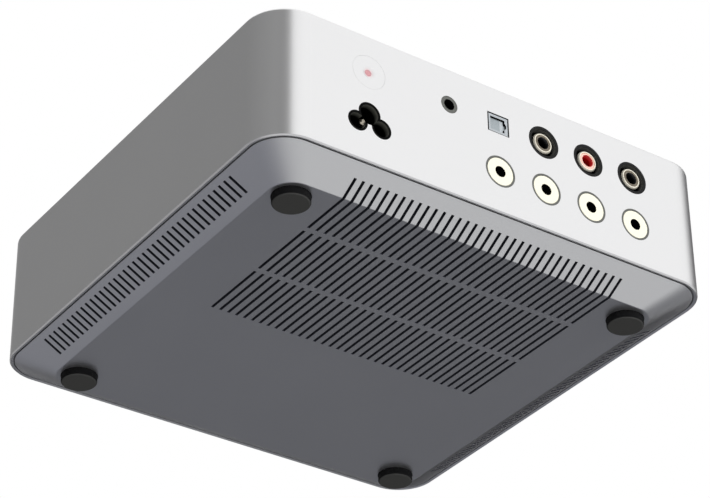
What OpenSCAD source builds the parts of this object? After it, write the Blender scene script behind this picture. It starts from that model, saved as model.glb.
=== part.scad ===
// Compact stereo amplifier. An aluminium shell is closed from below by a vented
// tray on four rubber feet, and carries its sockets and a push button in its rear wall.
// The origin is the middle of the footprint, on the surface that the feet stand on.
// +Z is up, the rear wall faces +Y and the front faces -Y. Sizes are in millimetres.

/* [Case] */
// Width of the case
case_w = 180; // [174:1:220]
// Depth of the case
case_d = 180; // [176:1:220]
// Height of the shell from its lower rim to its top
shell_h = 49.5; // [48:0.5:70]
// Radius of the upright corners
corner_r = 14.6; // [13:0.2:17]
// Thickness of the shell's side walls
wall_t = 2.4; // [2.2:0.1:3]
// Thickness of the shell's top
top_t = 2.4; // [2:0.1:4]
// Rounding of the shell's top edge
top_edge_r = 1.2; // [0.6:0.1:1.8]
// Thickness of the wall where the tray is let in
rim_wall = 1.15; // [1:0.05:1.3]
// Rounding of the shell's lower edge
rim_edge_r = 0.9; // [0.5:0.05:0.95]
// Height of the rebate that takes the tray's lip
rebate_h = 3.2; // [2.4:0.1:4.5]
// Width of the seam between the shell and the tray
seam_gap = 0.4; // [0.3:0.05:0.5]

/* [Tray] */
// Thickness of the tray's sheet
tray_t = 2; // [1.6:0.1:2.4]
// Height of the sloping band
band_h = 6.8; // [6:0.1:8]
// Width of the sloping band, seen from below
band_run = 11.75; // [10.5:0.25:13]
// Corner radius of the flat part of the tray
tray_corner_r = 8.8; // [7:0.1:10]
// Distance from the sides of the case to the middle of each foot
foot_inset = 22.1; // [20.5:0.1:24]

/* [Feet] */
// Radius of a foot
foot_r = 6.4; // [6:0.1:7]
// Height of the feet below the tray
foot_h = 2.7; // [2:0.1:5]
// Depth of the recess that locates each foot
foot_recess = 0.6; // [0.4:0.1:0.8]
// Rounding of the foot's lower edge
foot_edge_r = 0.7; // [0.3:0.1:1]

/* [Vents] */
// Width of a slot
vent_w = 1; // [0.7:0.05:1.4]
// Distance from one slot to the next
vent_pitch = 3.17; // [2.6:0.01:3.17]
// Number of slots in each row under the case
vent_count = 35; // [15:2:35]
// Length of the slots under the case
vent_len = 27.1; // [15:0.1:27.1]
// Distance between the rows of slots
vent_row_gap = 2.15; // [1.5:0.05:2.5]
// How far the rear row runs up the sloping band, seen from below
vent_climb = 6.7; // [2:0.1:7]
// Number of slots on each side band
side_vent_count = 39; // [15:2:39]
// Distance from the tray's flat part to the slots of the side bands
side_vent_start = 2.4; // [1:0.1:3]
// Length of the slots of the side bands, seen from below
side_vent_len = 6.7; // [4:0.1:7]

/* [Rear wall layout] */
// Height of the upper row of sockets above the shell's lower rim
upper_row_h = 34.7; // [34:0.1:36]
// Height of the lower row of sockets above the shell's lower rim
lower_row_h = 15.8; // [14:0.1:16.5]
// Distance between neighbouring sockets
socket_pitch = 19; // [18:0.1:20]
// Distance from the side of the case to the last socket of each row
row_inset = 33.75; // [33.4:0.05:36]
// Distance from the optical socket to the jack socket
jack_step = 20.05; // [19:0.05:22]
// Distance from the other side of the case to the push button and the mains inlet
service_inset = 37.3; // [36.5:0.1:39]

/* [Speaker sockets] */
// Radius of the holes for the speaker sockets
speaker_hole_r = 6; // [5.8:0.05:6.4]
// Thickness of the dark collar
speaker_collar_t = 0.6; // [0.4:0.05:0.8]
// Radius of the speaker sockets' bore
speaker_bore_r = 2.1; // [2.05:0.05:2.2]
// Depth of the rear end of the contact behind the wall's outer face
speaker_contact_end = 18; // [16:0.5:19]

/* [Phono sockets] */
// Radius of the holes for the phono sockets
phono_hole_r = 6.25; // [6.1:0.05:6.5]
// Outer radius of the sleeve
phono_sleeve_r = 4.15; // [4.1:0.01:4.2]
// Wall of the sleeve
phono_sleeve_t = 0.75; // [0.6:0.05:0.9]
// Outer radius of the slot round the sleeve
phono_slot_r = 5.15; // [5.05:0.05:5.4]
// Depth of the slot round the sleeve
phono_slot_depth = 8.3; // [7:0.1:9]
// Radius of the bore of the centre contact
phono_bore_r = 1.65; // [1.6:0.01:1.7]

/* [Jack and optical socket] */
// Radius of the jack's nose ring
jack_ring_r = 3.25; // [3:0.05:3.6]
// Radius of the jack's bore
jack_bore_r = 1.8; // [1.78:0.01:1.85]
// Width of the optical socket's nose
optical_w = 8.1; // [7.8:0.05:8.6]
// Height of the optical socket's nose
optical_h = 6.9; // [6.8:0.05:7.4]
// Gap between the optical socket's nose and the wall
optical_gap = 0.35; // [0.2:0.05:0.5]
// Thickness of the shutter door
shutter_t = 0.6; // [0.5:0.05:0.7]

/* [Mains inlet] */
// Radius of the upper lobe of the inlet
inlet_top_r = 4.2; // [4.1:0.05:4.3]
// Radius of the two lower lobes of the inlet
inlet_side_r = 3.75; // [3.65:0.05:3.8]
// Distance from the middle of the inlet to each lower lobe along X
inlet_side_x = 4.55; // [4.5:0.05:4.7]
// Height of the upper lobe above the lower lobes
inlet_lobe_rise = 4.3; // [4.1:0.05:4.5]
// Wall of the inlet's nose
inlet_wall = 0.8; // [0.7:0.05:1]

/* [Button] */
// Radius of the button's cap
button_r = 6.2; // [6:0.05:6.4]
// Clearance round the button's cap
button_gap = 0.15; // [0.1:0.01:0.25]
// Travel of the button
button_travel = 1.5; // [0.8:0.1:1.6]
// Radius of the lit dot
lens_r = 1.2; // [0.9:0.05:1.4]

/* [Boards] */
// Thickness of the boards
board_t = 1.6; // [1.2:0.1:2]
// Distance from the sides of the case to the power supply and amplifier boards
board_side_gap = 30; // [29:0.5:30]
// Distance from the front of the case to the power supply board
board_front_gap = 16; // [12:0.5:20]
// Depth of the amplifier board
amp_board_d = 68; // [66:1:70]
// Height of the standoffs under these boards
standoff_h = 6; // [5:0.5:7]
// Distance from the amplifier board to the outside of the rear wall
board_rear_gap = 22; // [21:0.5:24]
// Gap between the two boards
board_gap = 8; // [4:0.5:10]
// Depth of the input board
io_board_d = 40.6; // [38:0.1:41]
// Height of the phono sockets' axes above the input board
socket_axis_h = 9; // [8.7:0.1:9.5]

/* [Hidden] */
$fn = 64;

// Cuts run past the face that they open by this much
cut = 1;
// Radial clearance between round pieces that are pressed or screwed together
fit_gap = 0.05;
// Clearance between the moving pieces and what they move beside
move_gap = 0.3;

// Levels, from the surface that the feet stand on
tray_z = foot_h;
tray_top_z = tray_z + tray_t;
rim_z = tray_z + band_h;
top_z = rim_z + shell_h;
ceiling_z = top_z - top_t;
upper_z = rim_z + upper_row_h;
lower_z = rim_z + lower_row_h;

// Case outlines
rear_y = case_d / 2;
side_x = case_w / 2;
rim_inset = rim_wall + seam_gap;
tray_w = case_w - 2 * rim_inset;
tray_d = case_d - 2 * rim_inset;
tray_r = corner_r - rim_inset;
flat_w = tray_w - 2 * band_run;
flat_d = tray_d - 2 * band_run;
foot_x = side_x - foot_inset;
foot_y = rear_y - foot_inset;

// The sloping band's sheet is as thick as the flat part's
band_len = sqrt(band_run * band_run + band_h * band_h);
band_shift = tray_t * band_len / band_h;
band_slope = band_run / band_h;
lip_t = tray_t;
inner_flat_shift = band_shift - tray_t * band_slope;
lip_start_z = rim_z + (band_shift - lip_t) / band_slope;

// Screws
m3_r = 1.5;
m3_head_r = 2.75;
m3_head_h = 1.9;
m3_bite = 5;
m25_r = 1.25;
m25_head_r = 2.2;
m25_head_h = 1.5;
m25_bite = 5;

// Corner posts of the shell, which the tray screws enter
post_r = 4.5;
post_rib_t = 2;
post_rib_start = 10;
tray_boss_r = 6;
head_gap = 0.35;
tray_screw_seat_z = tray_z + foot_recess + m3_head_h + 0.1;
tray_boss_top_z = tray_screw_seat_z + 2.4;
tray_screw_len = 12;

// Places along the rear wall
first_socket_x = row_inset + 3 * socket_pitch - side_x;
jack_x = first_socket_x + jack_step;
service_x = side_x - service_inset;
speaker_xs = [for (k = [0:3]) first_socket_x - k * socket_pitch];
phono_xs = [for (k = [1:3]) speaker_xs[k]];

// Boards
board_w = case_w - 2 * board_side_gap;
board_z = tray_top_z + standoff_h;
board_top_z = board_z + board_t;
amp_rear_y = rear_y - board_rear_gap;
amp_y = amp_rear_y - amp_board_d / 2;
amp_front_y = amp_rear_y - amp_board_d;
psu_rear_y = amp_front_y - board_gap;
psu_board_d = psu_rear_y + rear_y - board_front_gap;
psu_y = psu_rear_y - psu_board_d / 2;
standoff_side = 2.6;
standoff_x = board_w / 2 - standoff_side;
standoff_edge = 3.5;
standoff_flats = 5;
standoff_ys = [
    amp_rear_y - standoff_edge, amp_front_y + standoff_edge,
    psu_rear_y - standoff_edge, psu_rear_y - psu_board_d + standoff_edge
];
io_top_z = upper_z - socket_axis_h;
io_z = io_top_z - board_t;
io_wall_gap = 3;
io_rear_y = rear_y - wall_t - io_wall_gap;
io_y = io_rear_y - io_board_d / 2;
io_jack_side = 10.5;
io_phono_side = 6.45;
io_right_x = jack_x + io_jack_side;
io_left_x = speaker_xs[3] - io_phono_side;
io_board_w = io_right_x - io_left_x;
io_x = (io_right_x + io_left_x) / 2;
io_boss_r = 2.8;
io_boss_inset = 4;
io_rear_boss_x = (first_socket_x + jack_x) / 2 + 1;
io_bosses = [
    [io_right_x - io_boss_inset, io_rear_y - io_board_d + io_boss_inset],
    [io_left_x + io_boss_inset, io_rear_y - io_board_d + io_boss_inset],
    [io_rear_boss_x, io_rear_y - io_boss_inset]
];

// Sockets
speaker_collar_r = speaker_hole_r - fit_gap;
speaker_bush_r = speaker_collar_r - speaker_collar_t - fit_gap;
speaker_bush_len = 14;
speaker_mouth_len = 1;
speaker_barrel_r = 3.2;
speaker_nut_t = 3;
speaker_nut_flats = 2 * speaker_bush_r + 2.4;
phono_collar_r = phono_hole_r - fit_gap;
phono_floor_t = 1.2;
phono_body_front = phono_slot_depth + phono_floor_t;
phono_body_len = 9.5;
phono_body_w = 13;
phono_sleeve_bore_r = phono_sleeve_r - phono_sleeve_t;
phono_chamfer = 0.5;
phono_face = 0.7;
phono_contact_front = 2.4;
phono_contact_t = 0.45;
phono_contact_r = phono_bore_r + phono_contact_t;
phono_contact_len = 12;
jack_nose_len = 4;
jack_body_len = 14;
jack_body_w = 9;
optical_block_w = 13;
optical_block_front = wall_t + 0.2;
optical_block_len = 15.5;
optical_block_top = 5.6;
optical_frame_t = 0.8;
optical_side_t = 0.45;
optical_mouth_w = 6.6;
optical_mouth_bottom = 0.7;
optical_mouth_top = 1.05;
optical_cavity_len = 9.6;
optical_cavity_w = optical_w - 2 * optical_side_t;
optical_receiver_len = 7.5;
optical_receiver_size = 6.8;
optical_receiver_front = optical_block_front + optical_block_len - optical_receiver_len;
optical_receiver_gap = 0.1;
optical_lens_r = 1.5;
optical_roof_t = 0.25;
shutter_knuckle_r = 0.35;
shutter_pin_r = 0.25;
shutter_pin_gap = 0.05;
shutter_depth = optical_frame_t + 0.2 + shutter_t / 2;
shutter_pivot_z = upper_z + optical_h / 2 - optical_roof_t - 0.15 - shutter_knuckle_r;
shutter_bottom_z = upper_z - optical_h / 2 + optical_mouth_bottom - 0.15;
shutter_w = optical_cavity_w - 0.4;

// Mains inlet: its lobes stand on one line, the upper one above their middle
inlet_base_z = rim_z + 14.1;
inlet_slot_depth = 12;
inlet_body_front = 5.4;
inlet_body_len = 12.6;
inlet_body_w = 19;
inlet_body_h = 14.5;
inlet_ear_x = 13;
inlet_ear_r = 3;
inlet_ear_t = 2.4;
inlet_boss_len = inlet_body_front - wall_t;
inlet_boss_r = 2.6;
inlet_pin_r = 1.2;
inlet_earth_recess = 3.5;
inlet_line_recess = 5;
inlet_earth_drop = 0.8;
inlet_mid_z = inlet_base_z + inlet_lobe_rise / 2;

// Button and its board
button_flange_r = 7.2;
button_flange_front = wall_t + move_gap;
button_flange_t = 1.1;
button_stem_r = 2.4;
button_stem_end = 8;
button_finger_x = 5.6;
button_finger_r = 1.2;
button_board_front = 13;
button_board_left = 8.5;
button_board_right = 14.6;
button_board_h = 13;
button_boss_x = 11.2;
button_boss_z = 3.8;
button_boss_r = 2.4;
switch_size = 6;
switch_front = 9.6;
plunger_front = 7.6;
plunger_r = 1.4;
plunger_len = 3.2;
switch_bore_end = plunger_front + plunger_len + button_travel + move_gap;
lamp_r = 1.5;
lamp_front = button_stem_end + button_travel + 0.5;

// Wiring
lead_r = 1.4;
lead_bend_r = 5;
speaker_lead_run = 10;
terminal_w = 7;
terminal_d = 8;
terminal_h = 4;
speaker_terminal_y = rear_y - speaker_contact_end - speaker_lead_run - lead_bend_r;
mains_terminal_w = 5.5;
mains_terminal_y = psu_rear_y - 2 * standoff_edge - terminal_d / 2;
ribbon_w = 15;
ribbon_t = 0.9;
ribbon_side = 14.3;
ribbon_edge = 5;
ribbon_x = io_right_x - ribbon_side;
ribbon_y = io_rear_y - io_board_d + ribbon_edge;
ribbon_plug_h = 4;
ribbon_plug_d = 5;

// Power supply parts, set out from the board's rear edge and from its two sides
can_edge_r = 1;
supply_can_r = 5;
supply_can_h = 20;
supply_can_pitch = 11;
supply_can_side = 12;
supply_can_rear = 6;
transformer_w = 28;
transformer_d = 18;
transformer_h = 28;
transformer_window_w = 6.5;
transformer_yoke = 5;
transformer_leg = 9;
transformer_slack = 0.2;
winding_overhang = 6;
winding_corner_r = 4;
transformer_side = 32.5;
transformer_rear = 16;
psu_sink_w = 28;
psu_sink_d = 9;
psu_sink_h = 22;
psu_sink_fins = 6;
psu_sink_rear = 37.5;
sink_base_t = 3;
sink_fin_t = 1.6;
bulk_can_r = 8;
bulk_can_h = 32;
bulk_can_side = 46.5;
bulk_can_rears = [9, 26];
choke_ring_r = 6;
choke_core_half = 2.3;
choke_winding_r = 3.3;
mains_column_side = 24.5;
choke_rear = 11;
x_cap_w = 20;
x_cap_d = 9;
x_cap_h = 15;
x_cap_rear = 28;
rectifier_w = 20;
rectifier_d = 4;
rectifier_h = 16;
rectifier_hole_r = 1.7;
rectifier_hole_z = 12;
rectifier_rear = 40;
fuse_r = 2.6;
fuse_len = 20;
fuse_z = 4.6;
fuse_clip_w = 6;
fuse_clip_d = 3;
fuse_clip_h = 8;
fuse_clip_pitch = 16;
fuse_side = 10;
fuse_rear = 27;

// Amplifier parts, set out in the same way
chip_w = 14;
chip_h = 1.8;
chip_pitch = 36;
amp_sink_w = 70;
amp_sink_d = 34;
amp_sink_base_t = 4;
amp_sink_h = 24;
amp_sink_fins = 13;
amp_sink_leg_r = 1.5;
amp_sink_leg_inset = 4;
amp_sink_side = 41;
amp_sink_rear = 46;
amp_can_r = 5;
amp_can_h = 22;
amp_can_pitch = 12;
amp_can_side = 19;
amp_can_rear = 33;
inductor_w = 10;
inductor_h = 9;
inductor_corner_r = 2;
inductor_shift = 2.5;
inductor_rear = 22;
signal_chip_h = 1.4;
signal_chips_at = [[12, -12, 9], [34, -12, 14], [58, -12, 9]];

// Shapes that repeat

module rounded_rect(w, d, r) {
    square([w - 2 * r, d], center = true);
    square([w, d - 2 * r], center = true);
    for (sx = [-1, 1], sy = [-1, 1])
        translate([sx * (w / 2 - r), sy * (d / 2 - r)])
            circle(r);
}

module rounded_plate(w, d, h, r) {
    linear_extrude(h)
        rounded_rect(w, d, r);
}

// Places its children on the rear wall: local Z runs from the outer face inwards
module on_rear(x, z) {
    translate([x, rear_y, z])
        rotate([90, 0, 0])
            children();
}

module tube(r_out, r_in, h) {
    difference() {
        cylinder(r = r_out, h = h);
        translate([0, 0, -cut])
            cylinder(r = r_in, h = h + 2 * cut);
    }
}

module at_corners(x, y) {
    for (sx = [-1, 1], sy = [-1, 1])
        translate([sx * x, sy * y, 0])
            children();
}

// A screw with its head above z = 0 and its shank below
module screw(shank_r, head_r, head_h, shank_len) {
    difference() {
        cylinder(r = head_r, h = head_h);
        translate([0, 0, head_h - 1])
            cylinder(r = shank_r * 0.75, h = 1 + cut, $fn = 6);
    }
    translate([0, 0, -shank_len])
        cylinder(r = shank_r, h = shank_len + 0.01);
}

// A round can standing on a board
module standing_can(r, h) {
    rotate_extrude() {
        square([r, h - can_edge_r]);
        square([r - can_edge_r, h]);
        translate([r - can_edge_r, h - can_edge_r])
            circle(can_edge_r);
    }
}

// A lead that runs along -Y, bends down and drops
module bent_lead(run, drop) {
    rotate([90, 0, 0])
        cylinder(r = lead_r, h = run);
    translate([0, -run, -lead_bend_r])
        rotate([90, 0, -90])
            rotate_extrude(angle = 90)
                translate([lead_bend_r, 0])
                    circle(lead_r);
    translate([0, -run - lead_bend_r, -lead_bend_r - drop])
        cylinder(r = lead_r, h = drop);
}

// Case

// Upright section of the shell's outside, with its lower and upper edges rounded
module shell_section(half_w) {
    translate([0, rim_edge_r])
        square([half_w, shell_h - rim_edge_r - top_edge_r]);
    square([half_w - rim_edge_r, shell_h / 2]);
    square([half_w - top_edge_r, shell_h]);
    translate([half_w - rim_edge_r, rim_edge_r])
        circle(rim_edge_r);
    translate([half_w - top_edge_r, shell_h - top_edge_r])
        circle(top_edge_r);
}

module shell_bar(width, length) {
    linear_extrude(length, center = true) {
        shell_section(width / 2);
        mirror([1, 0])
            shell_section(width / 2);
    }
}

module shell_outside() {
    translate([0, 0, rim_z]) {
        rotate([90, 0, 0])
            shell_bar(case_w, case_d - 2 * corner_r);
        rotate([90, 0, 90])
            shell_bar(case_d, case_w - 2 * corner_r);
        at_corners(side_x - corner_r, rear_y - corner_r)
            rotate_extrude()
                shell_section(corner_r);
    }
}

module shell_inside() {
    translate([0, 0, rim_z - cut])
        rounded_plate(case_w - 2 * wall_t, case_d - 2 * wall_t, shell_h - top_t + cut, corner_r - wall_t);
    translate([0, 0, rim_z - cut])
        rounded_plate(case_w - 2 * rim_wall, case_d - 2 * rim_wall, rebate_h + cut, corner_r - rim_wall);
}

module clover(grow) {
    for (side = [-1, 1])
        translate([side * inlet_side_x, 0])
            circle(inlet_side_r + grow);
    translate([0, inlet_lobe_rise])
        circle(inlet_top_r + grow);
    polygon([[-inlet_side_x, 0], [inlet_side_x, 0], [0, inlet_lobe_rise]]);
}

module rear_holes() {
    depth = wall_t + 2 * cut;
    for (x = speaker_xs)
        on_rear(x, lower_z)
            translate([0, 0, -cut])
                cylinder(r = speaker_hole_r, h = depth);
    for (x = phono_xs)
        on_rear(x, upper_z)
            translate([0, 0, -cut])
                cylinder(r = phono_hole_r, h = depth);
    on_rear(jack_x, upper_z)
        translate([0, 0, -cut])
            cylinder(r = jack_ring_r + fit_gap, h = depth);
    on_rear(service_x, upper_z)
        translate([0, 0, -cut])
            cylinder(r = button_r + button_gap, h = depth);
    on_rear(first_socket_x, upper_z)
        translate([0, 0, -cut])
            linear_extrude(depth)
                square([optical_w + 2 * optical_gap, optical_h + 2 * optical_gap], center = true);
    on_rear(service_x, inlet_base_z)
        translate([0, 0, -cut])
            linear_extrude(depth)
                clover(fit_gap);
}

// A post in each corner hangs from the ceiling and takes a tray screw
module corner_post(sx, sy) {
    reach = (foot_inset - corner_r) * sqrt(2) + corner_r - wall_t / 2;
    translate([sx * foot_x, sy * foot_y, 0]) {
        difference() {
            union() {
                translate([0, 0, tray_boss_top_z])
                    cylinder(r = post_r, h = ceiling_z - tray_boss_top_z + 0.01);
                rotate([0, 0, sx * sy > 0 ? 45 : -45])
                    translate([sx > 0 ? 0 : -reach, -post_rib_t / 2, rim_z + post_rib_start])
                        cube([reach, post_rib_t, ceiling_z - rim_z - post_rib_start + 0.01]);
            }
            translate([0, 0, tray_boss_top_z - cut])
                cylinder(r = m3_r + fit_gap, h = tray_screw_len);
        }
    }
}

module hanging_bosses() {
    for (p = io_bosses)
        translate([p[0], p[1], io_top_z])
            tube(io_boss_r, m25_r + fit_gap, ceiling_z - io_top_z + 0.01);
}

module rear_wall_bosses() {
    for (side = [-1, 1]) {
        on_rear(service_x + button_boss_x, upper_z + side * button_boss_z)
            translate([0, 0, wall_t - 0.01])
                tube(button_boss_r, m25_r + fit_gap, button_board_front - wall_t + 0.01);
        on_rear(service_x + side * inlet_ear_x, inlet_mid_z)
            translate([0, 0, wall_t - 0.01])
                tube(inlet_boss_r, m25_r + fit_gap, inlet_boss_len + 0.01);
    }
}

module shell() {
    color([0.8, 0.81, 0.82]) {
        difference() {
            shell_outside();
            shell_inside();
            rear_holes();
        }
        for (sx = [-1, 1], sy = [-1, 1])
            corner_post(sx, sy);
        hanging_bosses();
        rear_wall_bosses();
    }
}

// A slab between two rounded outlines at two heights
module tapered_slab(w1, d1, r1, z1, w2, d2, r2, z2) {
    hull() {
        translate([0, 0, z1])
            rounded_plate(w1, d1, 0.01, r1, $fn = 32);
        translate([0, 0, z2 - 0.01])
            rounded_plate(w2, d2, 0.01, r2, $fn = 32);
    }
}

module tray_outside() {
    tapered_slab(flat_w, flat_d, tray_corner_r, tray_z, tray_w, tray_d, tray_r, rim_z);
    translate([0, 0, rim_z - 0.01])
        rounded_plate(tray_w, tray_d, rebate_h + 0.01, tray_r);
}

module tray_inside() {
    w = flat_w - 2 * inner_flat_shift;
    d = flat_d - 2 * inner_flat_shift;
    lip_w = tray_w - 2 * lip_t;
    lip_d = tray_d - 2 * lip_t;
    lip_r = tray_r - lip_t;
    tapered_slab(w, d, tray_corner_r - inner_flat_shift, tray_top_z, lip_w, lip_d, lip_r, lip_start_z);
    translate([0, 0, lip_start_z - 0.01])
        rounded_plate(lip_w, lip_d, rebate_h + cut, lip_r);
}

// Slots under the case: the rear row climbs the sloping band
module floor_vents() {
    rear_end = flat_d / 2 + vent_climb;
    row_pitch = vent_len + vent_row_gap;
    for (column = [0:vent_count - 1], row = [0:2]) {
        x = (column - (vent_count - 1) / 2) * vent_pitch;
        translate([x - vent_w / 2, rear_end - vent_len - row * row_pitch])
            square([vent_w, vent_len]);
    }
}

module side_vents() {
    for (k = [0:side_vent_count - 1], side = [0, 1]) {
        y = (k - (side_vent_count - 1) / 2) * vent_pitch;
        mirror([side, 0])
            translate([flat_w / 2 + side_vent_start, y - vent_w / 2])
                square([side_vent_len, vent_w]);
    }
}

module base_tray() {
    color([0.42, 0.43, 0.46]) {
        difference() {
            union() {
                difference() {
                    tray_outside();
                    tray_inside();
                }
                at_corners(foot_x, foot_y)
                    translate([0, 0, tray_top_z - 0.01])
                        cylinder(r = tray_boss_r, h = tray_boss_top_z - tray_top_z + 0.01);
            }
            translate([0, 0, tray_z - cut])
                linear_extrude(band_h + cut) {
                    floor_vents();
                    side_vents();
                }
            at_corners(foot_x, foot_y) {
                translate([0, 0, tray_z - cut])
                    cylinder(r = foot_r + 0.2, h = foot_recess + cut);
                translate([0, 0, tray_z])
                    cylinder(r = m3_head_r + head_gap, h = tray_screw_seat_z - tray_z);
                translate([0, 0, tray_z])
                    cylinder(r = m3_r + 0.15, h = tray_boss_top_z - tray_z + cut);
            }
        }
    }
}

module foot(sx, sy) {
    height = foot_h + foot_recess;
    color([0.11, 0.11, 0.11])
        translate([sx * foot_x, sy * foot_y, 0])
            rotate_extrude() {
                translate([0, foot_edge_r])
                    square([foot_r, height - foot_edge_r]);
                square([foot_r - foot_edge_r, height]);
                translate([foot_r - foot_edge_r, foot_edge_r])
                    circle(foot_edge_r);
            }
}

module tray_screws() {
    color([0.7, 0.7, 0.7])
        at_corners(foot_x, foot_y)
            translate([0, 0, tray_screw_seat_z])
                mirror([0, 0, 1])
                    screw(m3_r, m3_head_r, m3_head_h, tray_screw_len - 1);
}

// Board fixings

module board_standoffs() {
    color([0.8, 0.68, 0.35])
        for (y = standoff_ys, side = [-1, 1])
            translate([side * standoff_x, y, tray_top_z])
                difference() {
                    cylinder(r = standoff_flats / sqrt(3), h = standoff_h, $fn = 6);
                    translate([0, 0, standoff_h - m3_bite])
                        cylinder(r = m3_r + fit_gap, h = m3_bite + cut);
                }
}

module board_screws() {
    color([0.7, 0.7, 0.7])
        for (y = standoff_ys, side = [-1, 1])
            translate([side * standoff_x, y, board_top_z])
                screw(m3_r, m3_head_r, m3_head_h, board_t + m3_bite - 0.6);
}

// Screws of the input board, the button's board and the inlet's ears
module small_screws() {
    color([0.7, 0.7, 0.7]) {
        for (p = io_bosses)
            translate([p[0], p[1], io_z])
                mirror([0, 0, 1])
                    screw(m25_r, m25_head_r, m25_head_h, board_t + m25_bite);
        for (side = [-1, 1]) {
            on_rear(service_x + button_boss_x, upper_z + side * button_boss_z)
                translate([0, 0, button_board_front + board_t])
                    screw(m25_r, m25_head_r, m25_head_h, board_t + m25_bite);
            on_rear(service_x + side * inlet_ear_x, inlet_mid_z)
                translate([0, 0, inlet_body_front + inlet_ear_t])
                    screw(m25_r, m25_head_r, m25_head_h, inlet_ear_t + inlet_boss_len - 0.6);
        }
    }
}

// Power supply

module psu_board() {
    color([0.1, 0.32, 0.18])
        translate([0, psu_y, board_z])
            difference() {
                rounded_plate(board_w, psu_board_d, board_t, 2);
                for (sx = [-1, 1], sy = [-1, 1])
                    translate([sx * standoff_x, sy * (psu_board_d / 2 - standoff_edge), -cut])
                        cylinder(r = m3_r + 0.15, h = board_t + 2 * cut);
            }
}

// Places its children on a board, at distances from its side and its rear edge
module on_psu(side, inset, rear) {
    translate([side * (board_w / 2 - inset), psu_rear_y - rear, board_top_z])
        children();
}

// A glass fuse in two clips
module mains_fuse() {
    color([0.75, 0.75, 0.72])
        on_psu(1, fuse_side, fuse_rear) {
            for (end = [-1, 1])
                translate([-fuse_clip_w / 2, end * fuse_clip_pitch / 2 - fuse_clip_d / 2, 0])
                    cube([fuse_clip_w, fuse_clip_d, fuse_clip_h]);
            translate([0, fuse_len / 2, fuse_z])
                rotate([90, 0, 0])
                    cylinder(r = fuse_r, h = fuse_len);
        }
}

// A ring core with two halves of winding
module mains_choke() {
    color([0.72, 0.42, 0.2])
        on_psu(1, mains_column_side, choke_rear)
            translate([0, 0, choke_winding_r]) {
                rotate_extrude()
                    translate([choke_ring_r, 0])
                        square([2 * choke_core_half, 2 * choke_core_half], center = true);
                for (turn = [20, 200])
                    rotate([0, 0, turn])
                        rotate_extrude(angle = 140)
                            translate([choke_ring_r, 0])
                                circle(choke_winding_r);
            }
}

module x_capacitor() {
    color([0.85, 0.7, 0.15])
        on_psu(1, mains_column_side, x_cap_rear)
            rounded_plate(x_cap_w, x_cap_d, x_cap_h, can_edge_r);
}

module bridge_rectifier() {
    color([0.12, 0.12, 0.13])
        on_psu(1, mains_column_side, rectifier_rear)
            difference() {
                translate([-rectifier_w / 2, -rectifier_d / 2, 0])
                    cube([rectifier_w, rectifier_d, rectifier_h]);
                translate([0, rectifier_d / 2 + cut, rectifier_hole_z])
                    rotate([90, 0, 0])
                        cylinder(r = rectifier_hole_r, h = rectifier_d + 2 * cut);
            }
}

module bulk_capacitors() {
    color([0.13, 0.16, 0.3])
        for (rear = bulk_can_rears)
            on_psu(1, bulk_can_side, rear)
                standing_can(bulk_can_r, bulk_can_h);
}

// An E core: two windows beside the centre leg
module transformer_core() {
    window_h = transformer_h - 2 * transformer_yoke;
    color([0.18, 0.18, 0.2])
        on_psu(-1, transformer_side, transformer_rear)
            difference() {
                translate([-transformer_w / 2, -transformer_d / 2, 0])
                    cube([transformer_w, transformer_d, transformer_h]);
                for (side = [-1, 1])
                    translate([side * (transformer_leg + transformer_window_w) / 2, 0, transformer_h / 2])
                        cube([transformer_window_w, transformer_d + 2 * cut, window_h], center = true);
            }
}

module transformer_winding() {
    w = transformer_leg + 2 * transformer_window_w - 2 * transformer_slack;
    d = transformer_d + 2 * winding_overhang;
    h = transformer_h - 2 * transformer_yoke - 2 * transformer_slack;
    color([0.8, 0.55, 0.2])
        on_psu(-1, transformer_side, transformer_rear)
            translate([0, 0, transformer_yoke + transformer_slack])
                linear_extrude(h)
                    difference() {
                        rounded_rect(w, d, winding_corner_r);
                        square(
                            [transformer_leg + 2 * transformer_slack, transformer_d + 2 * transformer_slack],
                            center = true
                        );
                    }
}

// Upright fins on a plate
module finned_block(w, d, base_t, fin_h, fin_t, fins) {
    translate([-w / 2, -d / 2, 0])
        cube([w, d, base_t]);
    for (k = [0:fins - 1])
        translate([-w / 2 + k * (w - fin_t) / (fins - 1), -d / 2, base_t - 0.01])
            cube([fin_t, d, fin_h]);
}

module psu_heat_sink() {
    color([0.2, 0.2, 0.21])
        on_psu(-1, transformer_side, psu_sink_rear)
            finned_block(psu_sink_w, psu_sink_d, sink_base_t, psu_sink_h, sink_fin_t, psu_sink_fins);
}

module supply_capacitors() {
    color([0.13, 0.16, 0.3])
        for (k = [0:3])
            on_psu(-1, supply_can_side, supply_can_rear + k * supply_can_pitch)
                standing_can(supply_can_r, supply_can_h);
}

// Amplifier

module amp_board() {
    color([0.1, 0.32, 0.18])
        translate([0, amp_y, board_z])
            difference() {
                rounded_plate(board_w, amp_board_d, board_t, 2);
                for (sx = [-1, 1], sy = [-1, 1])
                    translate([sx * standoff_x, sy * (amp_board_d / 2 - standoff_edge), -cut])
                        cylinder(r = m3_r + 0.15, h = board_t + 2 * cut);
            }
}

module on_amp(side, inset, rear) {
    translate([side * (board_w / 2 - inset), amp_rear_y - rear, board_top_z])
        children();
}

module amp_chips() {
    color([0.12, 0.12, 0.13])
        on_amp(-1, amp_sink_side, amp_sink_rear)
            for (side = [-1, 1])
                translate([side * chip_pitch / 2 - chip_w / 2, -chip_w / 2, 0])
                    cube([chip_w, chip_w, chip_h]);
}

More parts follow.
